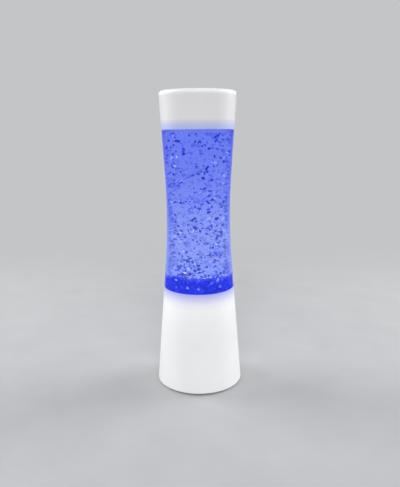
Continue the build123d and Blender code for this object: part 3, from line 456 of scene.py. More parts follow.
def cellMaterial():
    # Drawn steel can in a shrink sleeve: glossy black, copper coloured at the positive end, bare
    # nickel at both tips. The three cells lie turn about, so x keeps its sign in the outer rows,
    # which are more than half a pitch from the axis, and changes it in the middle one. The band
    # begins where that x passes bandFrom, and the bare tips where the plain x, either way, passes
    # canEnd.
    s = cellLook
    material, tree, shader = startMaterial("shrinkSleevedCan", {})
    place = addNode(tree, "ShaderNodeTexCoord")
    split = addNode(tree, "ShaderNodeSeparateXYZ", {}, {0: place.outputs["Object"]})
    aside = addNode(tree, "ShaderNodeMath", {"operation": "ABSOLUTE"}, {0: split.outputs[1]})
    outerRow = addNode(
        tree,
        "ShaderNodeMath",
        {"operation": "GREATER_THAN", 1: s["rowPitch"] / 2 * millimetre},
        {0: aside.outputs[0]},
    )
    sign = addNode(
        tree, "ShaderNodeMapRange", {"To Min": -1.0, "To Max": 1.0}, {"Value": outerRow.outputs[0]}
    )
    along = addNode(
        tree,
        "ShaderNodeMath",
        {"operation": "MULTIPLY"},
        {0: split.outputs[0], 1: sign.outputs[0]},
    )
    band = addNode(
        tree,
        "ShaderNodeMath",
        {"operation": "GREATER_THAN", 1: s["bandFrom"] * millimetre},
        {0: along.outputs[0]},
    )
    reach = addNode(tree, "ShaderNodeMath", {"operation": "ABSOLUTE"}, {0: split.outputs[0]})
    bare = addNode(
        tree,
        "ShaderNodeMath",
        {"operation": "GREATER_THAN", 1: s["canEnd"] * millimetre},
        {0: reach.outputs[0]},
    )
    wrinkle = addNode(
        tree,
        "ShaderNodeTexNoise",
        {"Scale": perSize(s["wrinkle"]), "Detail": 3.0},
        {"Vector": place.outputs["Object"]},
    )
    sleeve = addNode(
        tree,
        "ShaderNodeMix",
        {"data_type": "RGBA", 6: hexColour(s["sleeve"]), 7: hexColour(s["band"])},
        {0: band.outputs[0]},
    )
    metal = addNode(
        tree, "ShaderNodeValToRGB", {"stops": mottled(*s["metal"])}, {0: wrinkle.outputs[0]}
    )
    colour = addNode(
        tree,
        "ShaderNodeMix",
        {"data_type": "RGBA"},
        {0: bare.outputs[0], 6: sleeve.outputs[2], 7: metal.outputs[0]},
    )
    shine = addNode(
        tree, "ShaderNodeMath", {"operation": "MAXIMUM"}, {0: bare.outputs[0], 1: band.outputs[0]}
    )
    tree.links.new(colour.outputs[2], shader.inputs["Base Color"])
    tree.links.new(shine.outputs[0], shader.inputs["Metallic"])
    addSurface(tree, shader, s["rough"], wrinkle, s["relief"], wrinkle)
    return material


dress(cellMaterial(), "batteries")

lensLook = {
    "low": 88.0,
    "high": 96.0,
    "colours": [(0.0, "#2a3fb8"), (1.0, "#5a74ff")],
    "glows": [(0.0, "#0a1560"), (1.0, "#5c78ff")],
}


def lensMaterial():
    # epoxy, cast clear: a glossy dome, lit blue, brightest at its tip, so its ramps run up it
    material, tree, shader = startMaterial(
        "castEpoxyLens", {"Roughness": 0.08, "IOR": 1.54, "Emission Strength": 2.0}
    )
    share = heightShare(tree, lensLook["low"], lensLook["high"])
    addColours(tree, shader, share, lensLook["colours"], lensLook["glows"])
    return material


dress(lensMaterial(), "leds")

# Water-based liquid lit from below. The glow has depth, so two nested bodies carry it: the whole
# liquid in deep blue, and the column over the diodes, which is paler low down and deeper under
# the cap.
litLiquid = {
    "low": 110.0,
    "high": 281.0,
    "cloud": 22.0,
    "drift": 0.02,
    "leastCosine": 0.05,
    "colours": [(0.0, "#0a1060"), (1.0, "#080e50")],
}


def liquidMaterial(name, look):
    # The glow's ramp runs up the height, with clouds that move it a little. What is seen of a
    # glowing body is 1 - e^(-depth * cosine^power), the cosine being that of the line of sight
    # with the wall's normal. The layer at the wall is longer to look through where the line
    # grazes it, so its power is under 0. The column's chord is shorter there, so its is over 0.
    s = litLiquid
    material, tree, shader = startMaterial(
        name,
        {"Roughness": 0.15, "IOR": 1.33, "Specular IOR Level": 0.05, "Emission Strength": 1.0},
    )
    share = heightShare(tree, s["low"], s["high"])
    place = addNode(tree, "ShaderNodeTexCoord")
    cloud = addNode(
        tree,
        "ShaderNodeTexNoise",
        {"Scale": perSize(s["cloud"]), "Detail": 3.0, "Roughness": 0.5},
        {"Vector": place.outputs["Object"]},
    )
    drift = addNode(
        tree,
        "ShaderNodeMapRange",
        {"From Min": noiseLow, "From Max": noiseHigh, "To Min": -s["drift"], "To Max": s["drift"]},
        {"Value": cloud.outputs[0]},
    )
    moved = addNode(
        tree, "ShaderNodeMath", {"operation": "ADD"}, {0: share, 1: drift.outputs[0]}
    )
    addColours(tree, shader, moved.outputs[0], s["colours"], look["glows"])
    seen = addNode(tree, "ShaderNodeLayerWeight", {"Blend": 0.5}).outputs["Facing"]
    for operation, fixed, number in (
        ("SUBTRACT", 0, 1.0),
        ("MAXIMUM", 1, s["leastCosine"]),
        ("POWER", 1, look["power"]),
        ("MULTIPLY", 1, -look["depth"]),
        ("EXPONENT", 1, 0.5),  # takes one value, so this number goes unused
        ("SUBTRACT", 0, 1.0),
    ):
        # the number is set on one socket, and what came before goes into the other
        settings = {"operation": operation, fixed: number}
        seen = addNode(tree, "ShaderNodeMath", settings, {1 - fixed: seen}).outputs[0]
    tree.links.new(seen, shader.inputs["Alpha"])
    return material


# what bottle and floor share; grazing is the range of Facing over which the plastic gets denser
clearPlastic = {
    "grazing": (0.6, 0.95),
    "ripple": 14.0,
    "colours": ("#2434a0", "#3040b0"),
    "rough": (0.18, 0.26),
    "relief": (0.3, 0.05),
}


def clearMaterial(name, look):
    # Clear plastic with a soft gloss. Edge on, the line of sight runs a long way through it, so
    # its density goes smoothly from the first to the second value as the surface turns away.
    s = clearPlastic
    material, tree, shader = startMaterial(
        name, {"IOR": 1.57, "Specular IOR Level": 0.12, "Emission Strength": 1.0}
    )
    facing = addNode(tree, "ShaderNodeLayerWeight", {"Blend": 0.5})
    turned = addNode(
        tree,
        "ShaderNodeMapRange",
        {
            "interpolation_type": "SMOOTHSTEP",
            "From Min": s["grazing"][0],
            "From Max": s["grazing"][1],
            "To Min": look["density"][0],
            "To Max": look["density"][1],
        },
        {"Value": facing.outputs["Facing"]},
    )
    tree.links.new(turned.outputs[0], shader.inputs["Alpha"])
    place = addNode(tree, "ShaderNodeTexCoord")
    ripple = addNode(
        tree,
        "ShaderNodeTexNoise",
        {"Scale": perSize(s["ripple"]), "Detail": 2.0},
        {"Vector": place.outputs["Object"]},
    )
    addColours(tree, shader, ripple.outputs[0], mottled(*s["colours"]), mottled(*look["glows"]))
    addSurface(tree, shader, s["rough"], ripple, s["relief"], ripple)
    return material


# acrylic, cast and polished: the glow of the diodes fills the bottle's thick floor
floorLook = {"density": (0.3, 0.6), "glows": ("#1a2ab0", "#2236c8")}
dress(clearMaterial("castAcrylicFloor", floorLook), "bottle_floor")


def flakeMaterial(name, look):
    # polyester film, metallised and dyed blue, die cut: dark against the light, with a mirror's
    # glint from its gloss; each flake's own random tone picks its colour and its glow from the
    # ramps, and the pale top of a glow ramp paints a glint
    material, tree, shader = startMaterial(
        name,
        {"Roughness": 0.4, "Specular IOR Level": 0.15, "Emission Strength": look["strength"]},
    )
    tone = addNode(tree, "ShaderNodeAttribute", {"attribute_name": "flakeTone"})
    addColours(tree, shader, tone.outputs["Fac"], look["colours"], look["glows"])
    return material


print("materials made")

sharpAngle = math.radians(40)  # an edge that bends by more than this shows as an edge


def makeMesh(name, points, faces, smooth):
    # points are in millimetres, and faces is one array of corner numbers for each face size
    mesh = bpy.data.meshes.new(name)
    corners = np.concatenate([f.ravel() for f in faces]).astype(np.int32)
    sizes = np.concatenate([np.full(len(f), f.shape[1]) for f in faces])
    starts = np.concatenate([[0], np.cumsum(sizes)[:-1]]).astype(np.int32)
    mesh.vertices.add(len(points))
    mesh.vertices.foreach_set("co", (points * millimetre).astype(np.float32).ravel())
    mesh.loops.add(len(corners))
    mesh.loops.foreach_set("vertex_index", corners)
    mesh.polygons.add(len(sizes))
    mesh.polygons.foreach_set("loop_start", starts)
    mesh.polygons.foreach_set("use_smooth", np.full(len(sizes), smooth))
    mesh.update(calc_edges=True)
    mesh.validate()
    return mesh


def makePiece(name, points, faces, body, smooth=True):
    # a mesh that rides on a body
    piece = addObject(name, makeMesh(name, points, faces, smooth))
    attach(piece, body)
    return piece


def ringFaces(rows, columns, closed):
    # quads between neighbouring rings of a revolved grid; closed joins the last ring to the first
    row = np.arange(rows if closed else rows - 1)[:, None]
    column = np.arange(columns)[None, :]
    nextRow = (row + 1) % rows
    nextColumn = (column + 1) % columns
    quads = np.stack(
        [
            row * columns + column,
            row * columns + nextColumn,
            nextRow * columns + nextColumn,
            nextRow * columns + column,
        ],
        axis=-1,
    )
    return quads.reshape(-1, 4)


def fan(ring, centre):
    # triangles from each edge of a ring of corner numbers to one centre point
    return np.stack([ring, np.roll(ring, -1), np.full(len(ring), centre)], axis=1)


def revolved(radius, height, steps):
    # point (u, v) is profile point u turned by v: (r cos v, r sin v, z), where radius and height
    # may also vary with v
    turn = np.linspace(0, 2 * np.pi, steps, endpoint=False)[None, :]
    radius = np.broadcast_to(radius, (radius.shape[0], steps))
    height = np.broadcast_to(height, (height.shape[0], steps))
    return np.stack([radius * np.cos(turn), radius * np.sin(turn), height], axis=-1)


def onCircle(radius, turn, height):
    # places (r cos turn, r sin turn, z), one row each
    return np.stack([radius * np.cos(turn), radius * np.sin(turn), height], axis=1)


cornerRule = {"share": 0.45, "steps": 6}  # the most of a side that a rounding takes, and its points


def roundedCorners(corners):
    # Each (radius, height, rounding) with a rounding becomes the curve
    # (1 - t)^2 start + 2 t (1 - t) corner + t^2 end, whose ends lie that far along both sides.
    s = cornerRule
    points = np.array([corner[:2] for corner in corners], float)
    made = [points[:1]]
    for i in range(1, len(points) - 1):
        rounding = corners[i][2]
        before = points[i - 1] - points[i]
        after = points[i + 1] - points[i]
        reach = min(rounding, s["share"] * np.hypot(*before), s["share"] * np.hypot(*after))
        start = points[i] + before / np.hypot(*before) * reach
        end = points[i] + after / np.hypot(*after) * reach
        t = np.linspace(0, 1, s["steps"])[:, None]
        made.append((1 - t) ** 2 * start + 2 * t * (1 - t) * points[i] + t**2 * end)
    made.append(points[-1:])
    return np.concatenate(made)


# Polyester, blow moulded: a thin clear wall, nearly unseen from in front, that gathers blue at the
# sides. The wall is thinner than the CAD's, so that the flakes lie against the outer form.
bottleSkin = {
    "wall": 0.4,
    "crownRadius": 36.0,
    "crownTop": 285.5,
    "neckRadius": 13.3,
    "neckBase": 294.5,
    "ringRadius": 16.5,
    "ringLow": 296.5,
    "ringHigh": 298.5,
    "neckTop": 311.5,
    "boreRadius": 10.9,
    "spigotRadius": 36.1,
    "seatHeight": 98.5,
    "shoulderRound": 1.6,
    "neckRound": 1.5,
    "innerShoulderRound": 1.2,
    "innerNeckRound": 1.0,
    "innerCorner": 0.3,
    "outerEdge": 0.4,
    "steps": 160,
    "rows": 60,
    "density": (0.04, 0.3),
    "glows": ("#141e90", "#1a289c"),
}


def buildBottle():
    # outer wall up, shoulder, neck and back down inside, as one closed profile turned about Z;
    # the inner wall's radius is the outer form's less the wall
    s = bottleSkin
    rise = np.linspace(lampForm["baseRim"], lampForm["capRim"], s["rows"])
    outer = np.stack([outerRadius(rise), rise], axis=1)
    top = roundedCorners(
        [
            (*outer[-1], 0),
            (s["crownRadius"], lampForm["capRim"], s["innerCorner"]),
            (s["crownRadius"], s["crownTop"], s["shoulderRound"]),
            (s["neckRadius"], s["neckBase"], s["neckRound"]),
            (s["neckRadius"], s["ringLow"], s["innerCorner"]),
            (s["ringRadius"], s["ringLow"], s["outerEdge"]),
            (s["ringRadius"], s["ringHigh"], s["outerEdge"]),
            (s["neckRadius"], s["ringHigh"], s["innerCorner"]),
            (s["neckRadius"], s["neckTop"], s["outerEdge"]),
            (s["boreRadius"], s["neckTop"], s["outerEdge"]),
            (s["boreRadius"], s["neckBase"] - s["wall"], s["innerNeckRound"]),
            (s["crownRadius"] - s["wall"], s["crownTop"] - s["wall"], s["innerShoulderRound"]),
            (s["crownRadius"] - s["wall"], lampForm["capRim"] - s["wall"], 0),
        ]
    )
    innerRise = rise[::-1].copy()
    innerRise[0] -= s["wall"]
    innerRise[-1] += s["wall"]
    inner = np.stack([outerRadius(innerRise) - s["wall"], innerRise], axis=1)
    spigot = np.array(
        [
            (s["spigotRadius"] - s["wall"], lampForm["baseRim"] + s["wall"]),
            (s["spigotRadius"] - s["wall"], s["seatHeight"]),
            (s["spigotRadius"], s["seatHeight"]),
            (s["spigotRadius"], lampForm["baseRim"]),
        ]
    )
    profile = np.concatenate([outer, top[1:], inner, spigot])
    points = revolved(profile[:, :1], profile[:, 1:], s["steps"])
    faces = ringFaces(len(profile), s["steps"], True)
    return makePiece("bottle_skin", points.reshape(-1, 3), [faces], "lamp_body")


bottle = buildBottle()
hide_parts("bottle")
bottle.data.materials.append(clearMaterial("blowMouldedPolyester", bottleSkin))
bottle.data.set_sharp_from_angle(angle=sharpAngle)
print("bottle made")


def closedLathe(name, profile, steps):
    # a profile from near the axis below to near the axis above, turned about Z, with each end
    # ring closed by a fan to its centre
    points = revolved(profile[:, :1], profile[:, 1:], steps).reshape(-1, 3)
    quads = ringFaces(len(profile), steps, False)
    ring = np.arange(steps)
    centre = len(points)
    points = np.concatenate([points, [[0, 0, profile[0, 1]], [0, 0, profile[-1, 1]]]])
    bottom = fan(ring, centre)[:, [1, 0, 2]]
    top = fan(ring + (len(profile) - 1) * steps, centre + 1)
    return makePiece(name, points, [quads, bottom, top], "lamp_body")


liquidBody = {
    "gap": 0.05,
    "fill": 284.2,
    "floor": 102.6,
    "crownRadius": 35.5,
    "spigotRadius": 35.6,
    "poleRadius": 12.0,
    "steps": 160,
    "rows": 60,
    "depth": 0.16,
    "power": -1.9,
    "glows": [
        (0.0, "#1c2cd4"), (0.085, "#2030d8"), (0.115, "#92a6f6"), (0.22, "#92a6f6"),
        (0.35, "#889cf2"), (0.5, "#7286ea"), (0.7, "#5e72e6"), (0.95, "#5062e2"),
        (1.0, "#2c38c0"),
    ],
}


def buildLiquid():
    # one closed body from the bottle's floor to the fill level, a gap inside the wall; its flat
    # ends are closed by fans inside the pole radius
    s = liquidBody
    inset = bottleSkin["wall"] + s["gap"]
    rise = np.linspace(lampForm["baseRim"] + inset, lampForm["capRim"] - inset, s["rows"])
    wall = np.stack([outerRadius(rise) - inset, rise], axis=1)
    low = [
        (s["poleRadius"], s["floor"]),
        (s["spigotRadius"], s["floor"]),
        (s["spigotRadius"], rise[0]),
    ]
    high = [
        (s["crownRadius"], rise[-1]),
        (s["crownRadius"], s["fill"]),
        (s["poleRadius"], s["fill"]),
    ]
    return closedLathe("liquid_body", np.concatenate([low, wall, high]), s["steps"])


liquid = buildLiquid()
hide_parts("glitter_liquid")
liquid.data.materials.append(liquidMaterial("litBlueLiquid", liquidBody))
liquid.data.set_sharp_from_angle(angle=sharpAngle)

litColumn = {
    "share": 0.9,
    "low": 119.0,
    "high": 281.5,
    "domeRise": 2.2,
    "dishDrop": 5.0,
    "poleShare": 0.04,
    "endRows": 14,
    "steps": 128,
    "rows": 48,
    "depth": 1.05,
    "power": 0.6,
    "glows": [
        (0.13, "#96aafb"), (0.21, "#8b9ef5"), (0.4, "#8c9ef3"), (0.49, "#8598f5"),
        (0.58, "#7a8cf5"), (0.67, "#7286f2"), (0.77, "#697ff0"), (0.86, "#657cf1"),
        (1.0, "#687ff4"),
    ],
}


def buildColumn():
    # Radius is a share of the outer form's. The lower end dishes over the heap by the square of
    # the radius's share, and the upper end domes under the crown by one minus that square.
    s = litColumn
    rise = np.linspace(s["low"] + s["dishDrop"], s["high"], s["rows"])
    wall = np.stack([outerRadius(rise) * s["share"], rise], axis=1)
    part = np.linspace(s["poleShare"], 1, s["endRows"])
    dish = np.stack([wall[0, 0] * part, s["low"] + s["dishDrop"] * part**2], axis=1)
    part = part[::-1]
    dome = np.stack([wall[-1, 0] * part, s["high"] + s["domeRise"] * (1 - part**2)], axis=1)
    profile = np.concatenate([dish, wall[1:-1], dome])
    return closedLathe("lit_column", profile, s["steps"])


column = buildColumn()
column.data.materials.append(liquidMaterial("litBlueColumn", litColumn))
print("liquid made")

glitterSeed = 27  # another number scatters the flakes another way
random = np.random.default_rng(glitterSeed)


def randomTurns(count, flatness, levelPull):
    # Random rotation matrices. The cosine of a plate's lean is 1 less an even share of
    # (1 - flatness), so at 1 every plate is level. Its long axis is square to its normal and to a
    # helper of length 1 across and levelPull up, so the more pull, the nearer to level that axis.
    spin = random.uniform(0, 2 * np.pi, count)
    lean = np.arccos(1 - (1 - flatness) * random.uniform(0, 1, count))
    heading = random.uniform(0, 2 * np.pi, count)
    normal = onCircle(np.sin(lean), heading, np.cos(lean))
    helper = onCircle(np.ones(count), spin, np.full(count, levelPull))
    across = np.cross(normal, helper)
    across /= np.linalg.norm(across, axis=1, keepdims=True)
    along = np.cross(normal, across)
    return np.stack([across, along, normal], axis=2)


# how a flake is cut: corners of an uneven outline, how far each wanders round it, shares of the
# size that corners and width have, and half the plate's thickness, drawn thicker than the film
# so that it shows edge on
flakeCut = {
    "corners": 6,
    "wander": 0.25,
    "reach": (0.72, 1.0),
    "narrow": (0.5, 0.95),
    "halfThickness": 0.1,
}


def flakePlates(centres, turns, sizes, tones):
    # Corner k is size * reach * (cos a, narrow * sin a) at its angle a, once at each face of the
    # plate; the flake's turn and centre then carry it to its place.
    s = flakeCut
    count, corners = len(centres), s["corners"]
    angle = np.linspace(0, 2 * np.pi, corners, endpoint=False)[None, :]
    angle = angle + random.uniform(-s["wander"], s["wander"], (count, corners))
    reach = random.uniform(*s["reach"], (count, corners))
    narrow = random.uniform(*s["narrow"], (count, 1))
    outline = np.stack([np.cos(angle) * reach, np.sin(angle) * reach * narrow], axis=2)
    outline = outline * sizes[:, None, None]
    half = np.full((count, corners, 1), s["halfThickness"])
    low = np.concatenate([outline, -half], axis=2)
    high = np.concatenate([outline, half], axis=2)
    local = np.concatenate([low, high], axis=1)
    points = np.einsum("nij,nkj->nki", turns, local) + centres[:, None, :]
    start = (np.arange(count) * 2 * corners)[:, None]
    ring = np.arange(corners)
    after = np.roll(ring, -1)
    top = start + corners + ring[None, :]
    bottom = start + ring[None, ::-1]
    sides = np.stack([ring, after, corners + after, corners + ring], axis=1)
    sides = (start[:, :, None] + sides[None, :, :]).reshape(-1, 4)
    faces = [np.concatenate([top, bottom]), sides]
    return points.reshape(-1, 3), faces, np.repeat(tones, 2 * corners)


def flakePiece(name, plates, material):
    # one mesh of all the plates, with each plate's tone kept on its corners
    points, faces, tones = plates
    piece = makePiece(name, points, faces, "lamp_body", smooth=False)
    tone = piece.data.attributes.new("flakeTone", "FLOAT", "POINT")
    tone.data.foreach_set("value", tones.astype(np.float32))
    piece.data.materials.append(material)
    return piece


floatingFlakes = {
    "swarms": 400,
    "perSwarm": 5,
    "spread": 4.5,
    "outerShare": 0.74,
    "inner": 0.89,
    "low": 127.0,
    "high": 277.5,
    "crowding": 0.48,
    "wallGap": 0.6,
    "smallest": 1.0,
    "largest": 3.0,
    "flatness": 0.32,
    "levelPull": 2.2,
    "colours": [(0.0, "#020310"), (0.6, "#04061e"), (0.85, "#0a1044"), (1.0, "#1c2888")],
    "glows": [(0.0, "#020894"), (0.6, "#060cb0"), (0.85, "#1824c2"), (1.0, "#4050dc")],
    "strength": 1.0,
}


def foldBack(value, low, high):
    # a value past an end of the range comes back in by as much as it went over
    value = low + np.abs(value - low)
    return high - np.abs(high - value)


def buildFloating():
    # Swarm heights are an even share to the power 1 / crowding, so the flakes crowd towards the
    # bottom. An outer share of the swarms lies between the lit column and the wall, and the rest
    # is spread evenly over the round inside it, by the root of an even share. A swarm's flakes
    # scatter round its middle by a bell curve, and each keeps its own size away from the wall.
    s = floatingFlakes
    count = s["swarms"] * s["perSwarm"]
    even = random.uniform(0, 1, s["swarms"])
    rise = s["low"] + even ** (1 / s["crowding"]) * (s["high"] - s["low"])
    heading = random.uniform(0, 2 * np.pi, s["swarms"])
    outer = random.uniform(0, 1, s["swarms"]) < s["outerShare"]
    share = random.uniform(0, 1, s["swarms"])
    share = np.where(outer, s["inner"] + (1 - s["inner"]) * share, s["inner"] * np.sqrt(share))
    swarms = (rise, heading, outer, share)
    rise, heading, outer, share = (np.repeat(values, s["perSwarm"]) for values in swarms)
    scatter = random.normal(0, s["spread"], (3, count))
    height = foldBack(rise + scatter[0], s["low"], s["high"])
    radius = outerRadius(height)
    turn = heading + scatter[1] / radius
    share = share + np.where(outer, 0, scatter[2] / radius)
    sizes = random.uniform(s["smallest"], s["largest"], count)
    reach = np.minimum(radius * np.abs(share), radius - s["wallGap"] - sizes)
    tones = random.uniform(0, 1, count)
    turns = randomTurns(count, s["flatness"], s["levelPull"])
    return flakePlates(onCircle(reach, turn, height), turns, sizes, tones)


darkFilm = flakeMaterial("dyedMetallisedFilm", floatingFlakes)
floating = flakePiece("floating_flakes", buildFloating(), darkFilm)
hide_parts("suspended_glitter")

# pale flakes whose glow is a painted glint
brightFlakes = {
    "count": 50,
    "size": 2.1,
    "sizeRange": (0.6, 1.3),
    "inner": 0.82,
    "crowding": 1.4,
    "flatness": 0.0,
    "levelPull": 0.13,
    "colours": [(0.0, "#b8c8ff"), (1.0, "#e8f0ff")],
    "glows": [(0.0, "#8ca4ff"), (1.0, "#dce8ff")],
    "strength": 1.3,
}


def buildBright():
    # flakes whose pale glow is a painted glint: heights are an even share to the power crowding,
    # and each lies between the inner share of its reach and the wall
    s = brightFlakes
    share = random.uniform(0, 1, s["count"]) ** s["crowding"]
    height = floatingFlakes["low"] + share * (floatingFlakes["high"] - floatingFlakes["low"])
    turn = random.uniform(0, 2 * np.pi, s["count"])
    sizes = s["size"] * random.uniform(*s["sizeRange"], s["count"])
    limit = outerRadius(height) - floatingFlakes["wallGap"] - sizes
    reach = limit * random.uniform(s["inner"], 1, s["count"])
    turns = randomTurns(s["count"], s["flatness"], s["levelPull"])
    tones = random.uniform(0, 1, s["count"])
    return flakePlates(onCircle(reach, turn, height), turns, sizes, tones)


paintedGlints = flakeMaterial("paintedGlintFilm", brightFlakes)
flakePiece("bright_flakes", buildBright(), paintedGlints)
print("floating glitter made")

settledBed = {
    "floor": 102.7,
    "crest": 125.7,
    "crestRipple": 1.2,
    "crestWaves": (2, 38, 4),
    "frontRise": 2.2,
    "toeRadius": 17.0,
    "sag": 0.32,
    "wallGap": 0.35,
    "lump": 0.35,
    "lumpWaves": (9, 60, 3),
    "lumpTilt": 3.0,
    "steps": 240,
    "slopeRows": 48,
    "wallRows": 12,
    "flake": 3.4,
    "flakeRelief": (0.7, 0.4),
}

# against the wall the heap is deep blue; its open top is painted paler with the light that comes
# up through the floor, and the palest stops of both ramps are painted glints
heapAtWall = {
    "colours": [(0.0, "#080c50"), (0.6, "#0c1478"), (1.0, "#2030b0")],
    "glows": [
        (0.0, "#1c2ab6"), (0.6, "#2030c6"), (0.93, "#2a3ad0"), (0.98, "#5064f0"),
        (1.0, "#a4b8ff"),
    ],
}
heapOpenTop = {
    "colours": [(0.0, "#101860"), (0.6, "#1c28a0"), (1.0, "#3c50e0")],
    "glows": [
        (0.0, "#5a6cd4"), (0.5, "#7088ee"), (0.86, "#7a92f2"), (0.96, "#94a8fa"),
        (1.0, "#b8c8ff"),
    ],
}


def ripple(turn, across, waveCounts, tilt):
    # The sum over the wave counts n of sin(n turn + phase + tilt n across sin(slide)) / root n,
    # with phase and slide random for each n, brought to a peak of 1. The counts are given as
    # first, end and step.
    total = np.zeros(np.broadcast(turn, across).shape)
    for waves in range(*waveCounts):
        phase, slide = random.uniform(0, 2 * np.pi, 2)
        slant = tilt * waves * across * np.sin(slide)
        total += np.sin(waves * turn + phase + slant) / math.sqrt(waves)
    return total / np.abs(total).max()


def slopePoint(share, crest):
    # from toe (share 0) to crest (share 1) the radius is linear, and the height is the straight
    # line's less a sag of 2 share (1 - share)(1 - 2 sag) of the whole rise
    s = settledBed
    crestRadius = outerRadius(crest) - bottleSkin["wall"] - s["wallGap"]
    radius = s["toeRadius"] + share * (crestRadius - s["toeRadius"])
    bend = 2 * share * (1 - share) * (1 - 2 * s["sag"])
    height = s["floor"] + (crest - s["floor"]) * (share - bend)
    return radius, height


def buildBed():
    # Closed ring: slope from toe to crest with lumps that fade out at both ends, then down the
    # wall and in along the floor. The crest ripples, and stands higher at the front by minus the
    # sine of the turn.
    s = settledBed
    turn = np.linspace(0, 2 * np.pi, s["steps"], endpoint=False)[None, :]
    share = np.linspace(0, 1, s["slopeRows"])[:, None]
    crest = s["crest"] + s["crestRipple"] * ripple(turn, 0.0, s["crestWaves"], 0.0)
    crest = crest - s["frontRise"] * np.sin(turn)
    radius, height = slopePoint(share, crest)
    fade = np.sin(np.pi * share) ** 0.5
    height = height + s["lump"] * fade * ripple(turn, share, s["lumpWaves"], s["lumpTilt"])
    wallShare = np.linspace(1, 0, s["wallRows"])[1:, None]
    wallHeight = s["floor"] + wallShare * (crest - s["floor"])
    rimHeight = lampForm["baseRim"] + bottleSkin["wall"]
    wallRadius = np.where(
        wallHeight > rimHeight,
        outerRadius(wallHeight) - bottleSkin["wall"] - s["wallGap"],
        liquidBody["spigotRadius"] - s["wallGap"],
    )
    radius = np.concatenate([radius, wallRadius])
    height = np.concatenate([height, wallHeight])
    points = revolved(radius, height, s["steps"])
    faces = ringFaces(len(radius), s["steps"], True)[:, ::-1]
    piece = makePiece("settled_bed", points.reshape(-1, 3), [faces], "lamp_body")
    openTop = np.arange(len(faces)) < (s["slopeRows"] - 1) * s["steps"]
    piece.data.polygons.foreach_set("material_index", openTop.astype(np.int32))
    return piece, crest[0]


def bedMaterial(name, look):
    # Heaped metallised flakes: saturated blue, speckled paler and darker at the size of one flake,
    # the palest specks being painted glints.
    # Each cell of the pattern has one random colour, whose red picks the tones and whose green is
    # the cell's height.
    s = settledBed
    material, tree, shader = startMaterial(
        name, {"Roughness": 0.45, "Emission Strength": 1.0, "Specular IOR Level": 0.3}
    )
    place = addNode(tree, "ShaderNodeTexCoord")
    cells = addNode(
        tree,
        "ShaderNodeTexVoronoi",
        {"Scale": perSize(s["flake"]), "Randomness": 1.0},
        {"Vector": place.outputs["Object"]},
    )
    split = addNode(tree, "ShaderNodeSeparateColor", {}, {0: cells.outputs["Color"]})
    addColours(tree, shader, split.outputs[0], look["colours"], look["glows"])
    bump = addNode(
        tree,
        "ShaderNodeBump",
        {"Strength": s["flakeRelief"][0], "Distance": s["flakeRelief"][1] * millimetre},
        {"Height": split.outputs[1]},
    )
    tree.links.new(bump.outputs[0], shader.inputs["Normal"])
    return material


bed, crestLine = buildBed()
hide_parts("settled_glitter")
bed.data.materials.append(bedMaterial("heapedFilmAtWall", heapAtWall))
bed.data.materials.append(bedMaterial("heapedFilmOpenTop", heapOpenTop))

settledFlakes = {
    "slope": 320,
    "wall": 270,
    "toeShare": 0.02,
    "loft": 0.7,
    "rimGap": 1.0,
    "faceGap": 0.28,
    "edgeGap": 0.2,
    "smallest": 0.7,
    "largest": 2.4,
    "smallness": 1.5,
    "flatness": 0.8,
    "levelPull": 0.13,
    # the palest tones of both ramps paint glints on a few flakes
    "colours": [(0.0, "#0c1478"), (0.5, "#1420a8"), (0.9, "#2c40e0"), (1.0, "#90a8ff")],
    "glows": [
        (0.0, "#1c2abc"), (0.5, "#2232cc"), (0.86, "#3040da"), (0.92, "#5468f4"),
        (0.985, "#bccaff"),
    ],
    "strength": 1.0,
}


def buildSettledFlakes():
    # Plates that lie on the slope, spread evenly over it by the root of an even share, and plates
    # pressed against the wall between the base's rim and the crest line. Sizes are an even share
    # to the power smallness.
    s = settledFlakes
    steps = settledBed["steps"]
    count = s["slope"] + s["wall"]
    turn = random.uniform(0, 2 * np.pi, count)
    ringTurns = np.linspace(0, 2 * np.pi, steps + 1)
    crest = np.interp(turn, ringTurns, np.append(crestLine, crestLine[0]))
    share = np.sqrt(random.uniform(s["toeShare"], 1, count))
    radius, height = slopePoint(share, crest)
    height = height + random.uniform(0.0, s["loft"], count)
    onWall = np.arange(count) >= s["slope"]
    rim = lampForm["baseRim"] + s["rimGap"]
    wallHeight = rim + (crest - rim) * random.uniform(0, 1, count)
    height = np.where(onWall, wallHeight, height)
    wallRadius = outerRadius(wallHeight) - bottleSkin["wall"] - s["faceGap"]
    radius = np.where(onWall, wallRadius, radius)
    even = random.uniform(0, 1, count)
    sizes = s["smallest"] + (s["largest"] - s["smallest"]) * even ** s["smallness"]
    limit = outerRadius(height) - bottleSkin["wall"] - s["edgeGap"] - np.where(onWall, 0, sizes)
    radius = np.minimum(radius, limit)
    turns = randomTurns(count, s["flatness"], s["levelPull"])
    outward = onCircle(np.ones(count), turn, np.zeros(count))
    up = np.tile([0.0, 0.0, 1.0], (count, 1))
    wallTurns = np.stack([np.cross(up, outward), up, outward], axis=2)
    turns = np.where(onWall[:, None, None], wallTurns, turns)
    tones = random.uniform(0, 1, count)
    return flakePlates(onCircle(radius, turn, height), turns, sizes, tones)


settledFilm = flakeMaterial("settledMetallisedFilm", settledFlakes)
flakePiece("settled_flakes", buildSettledFlakes(), settledFilm)
print("settled glitter made")

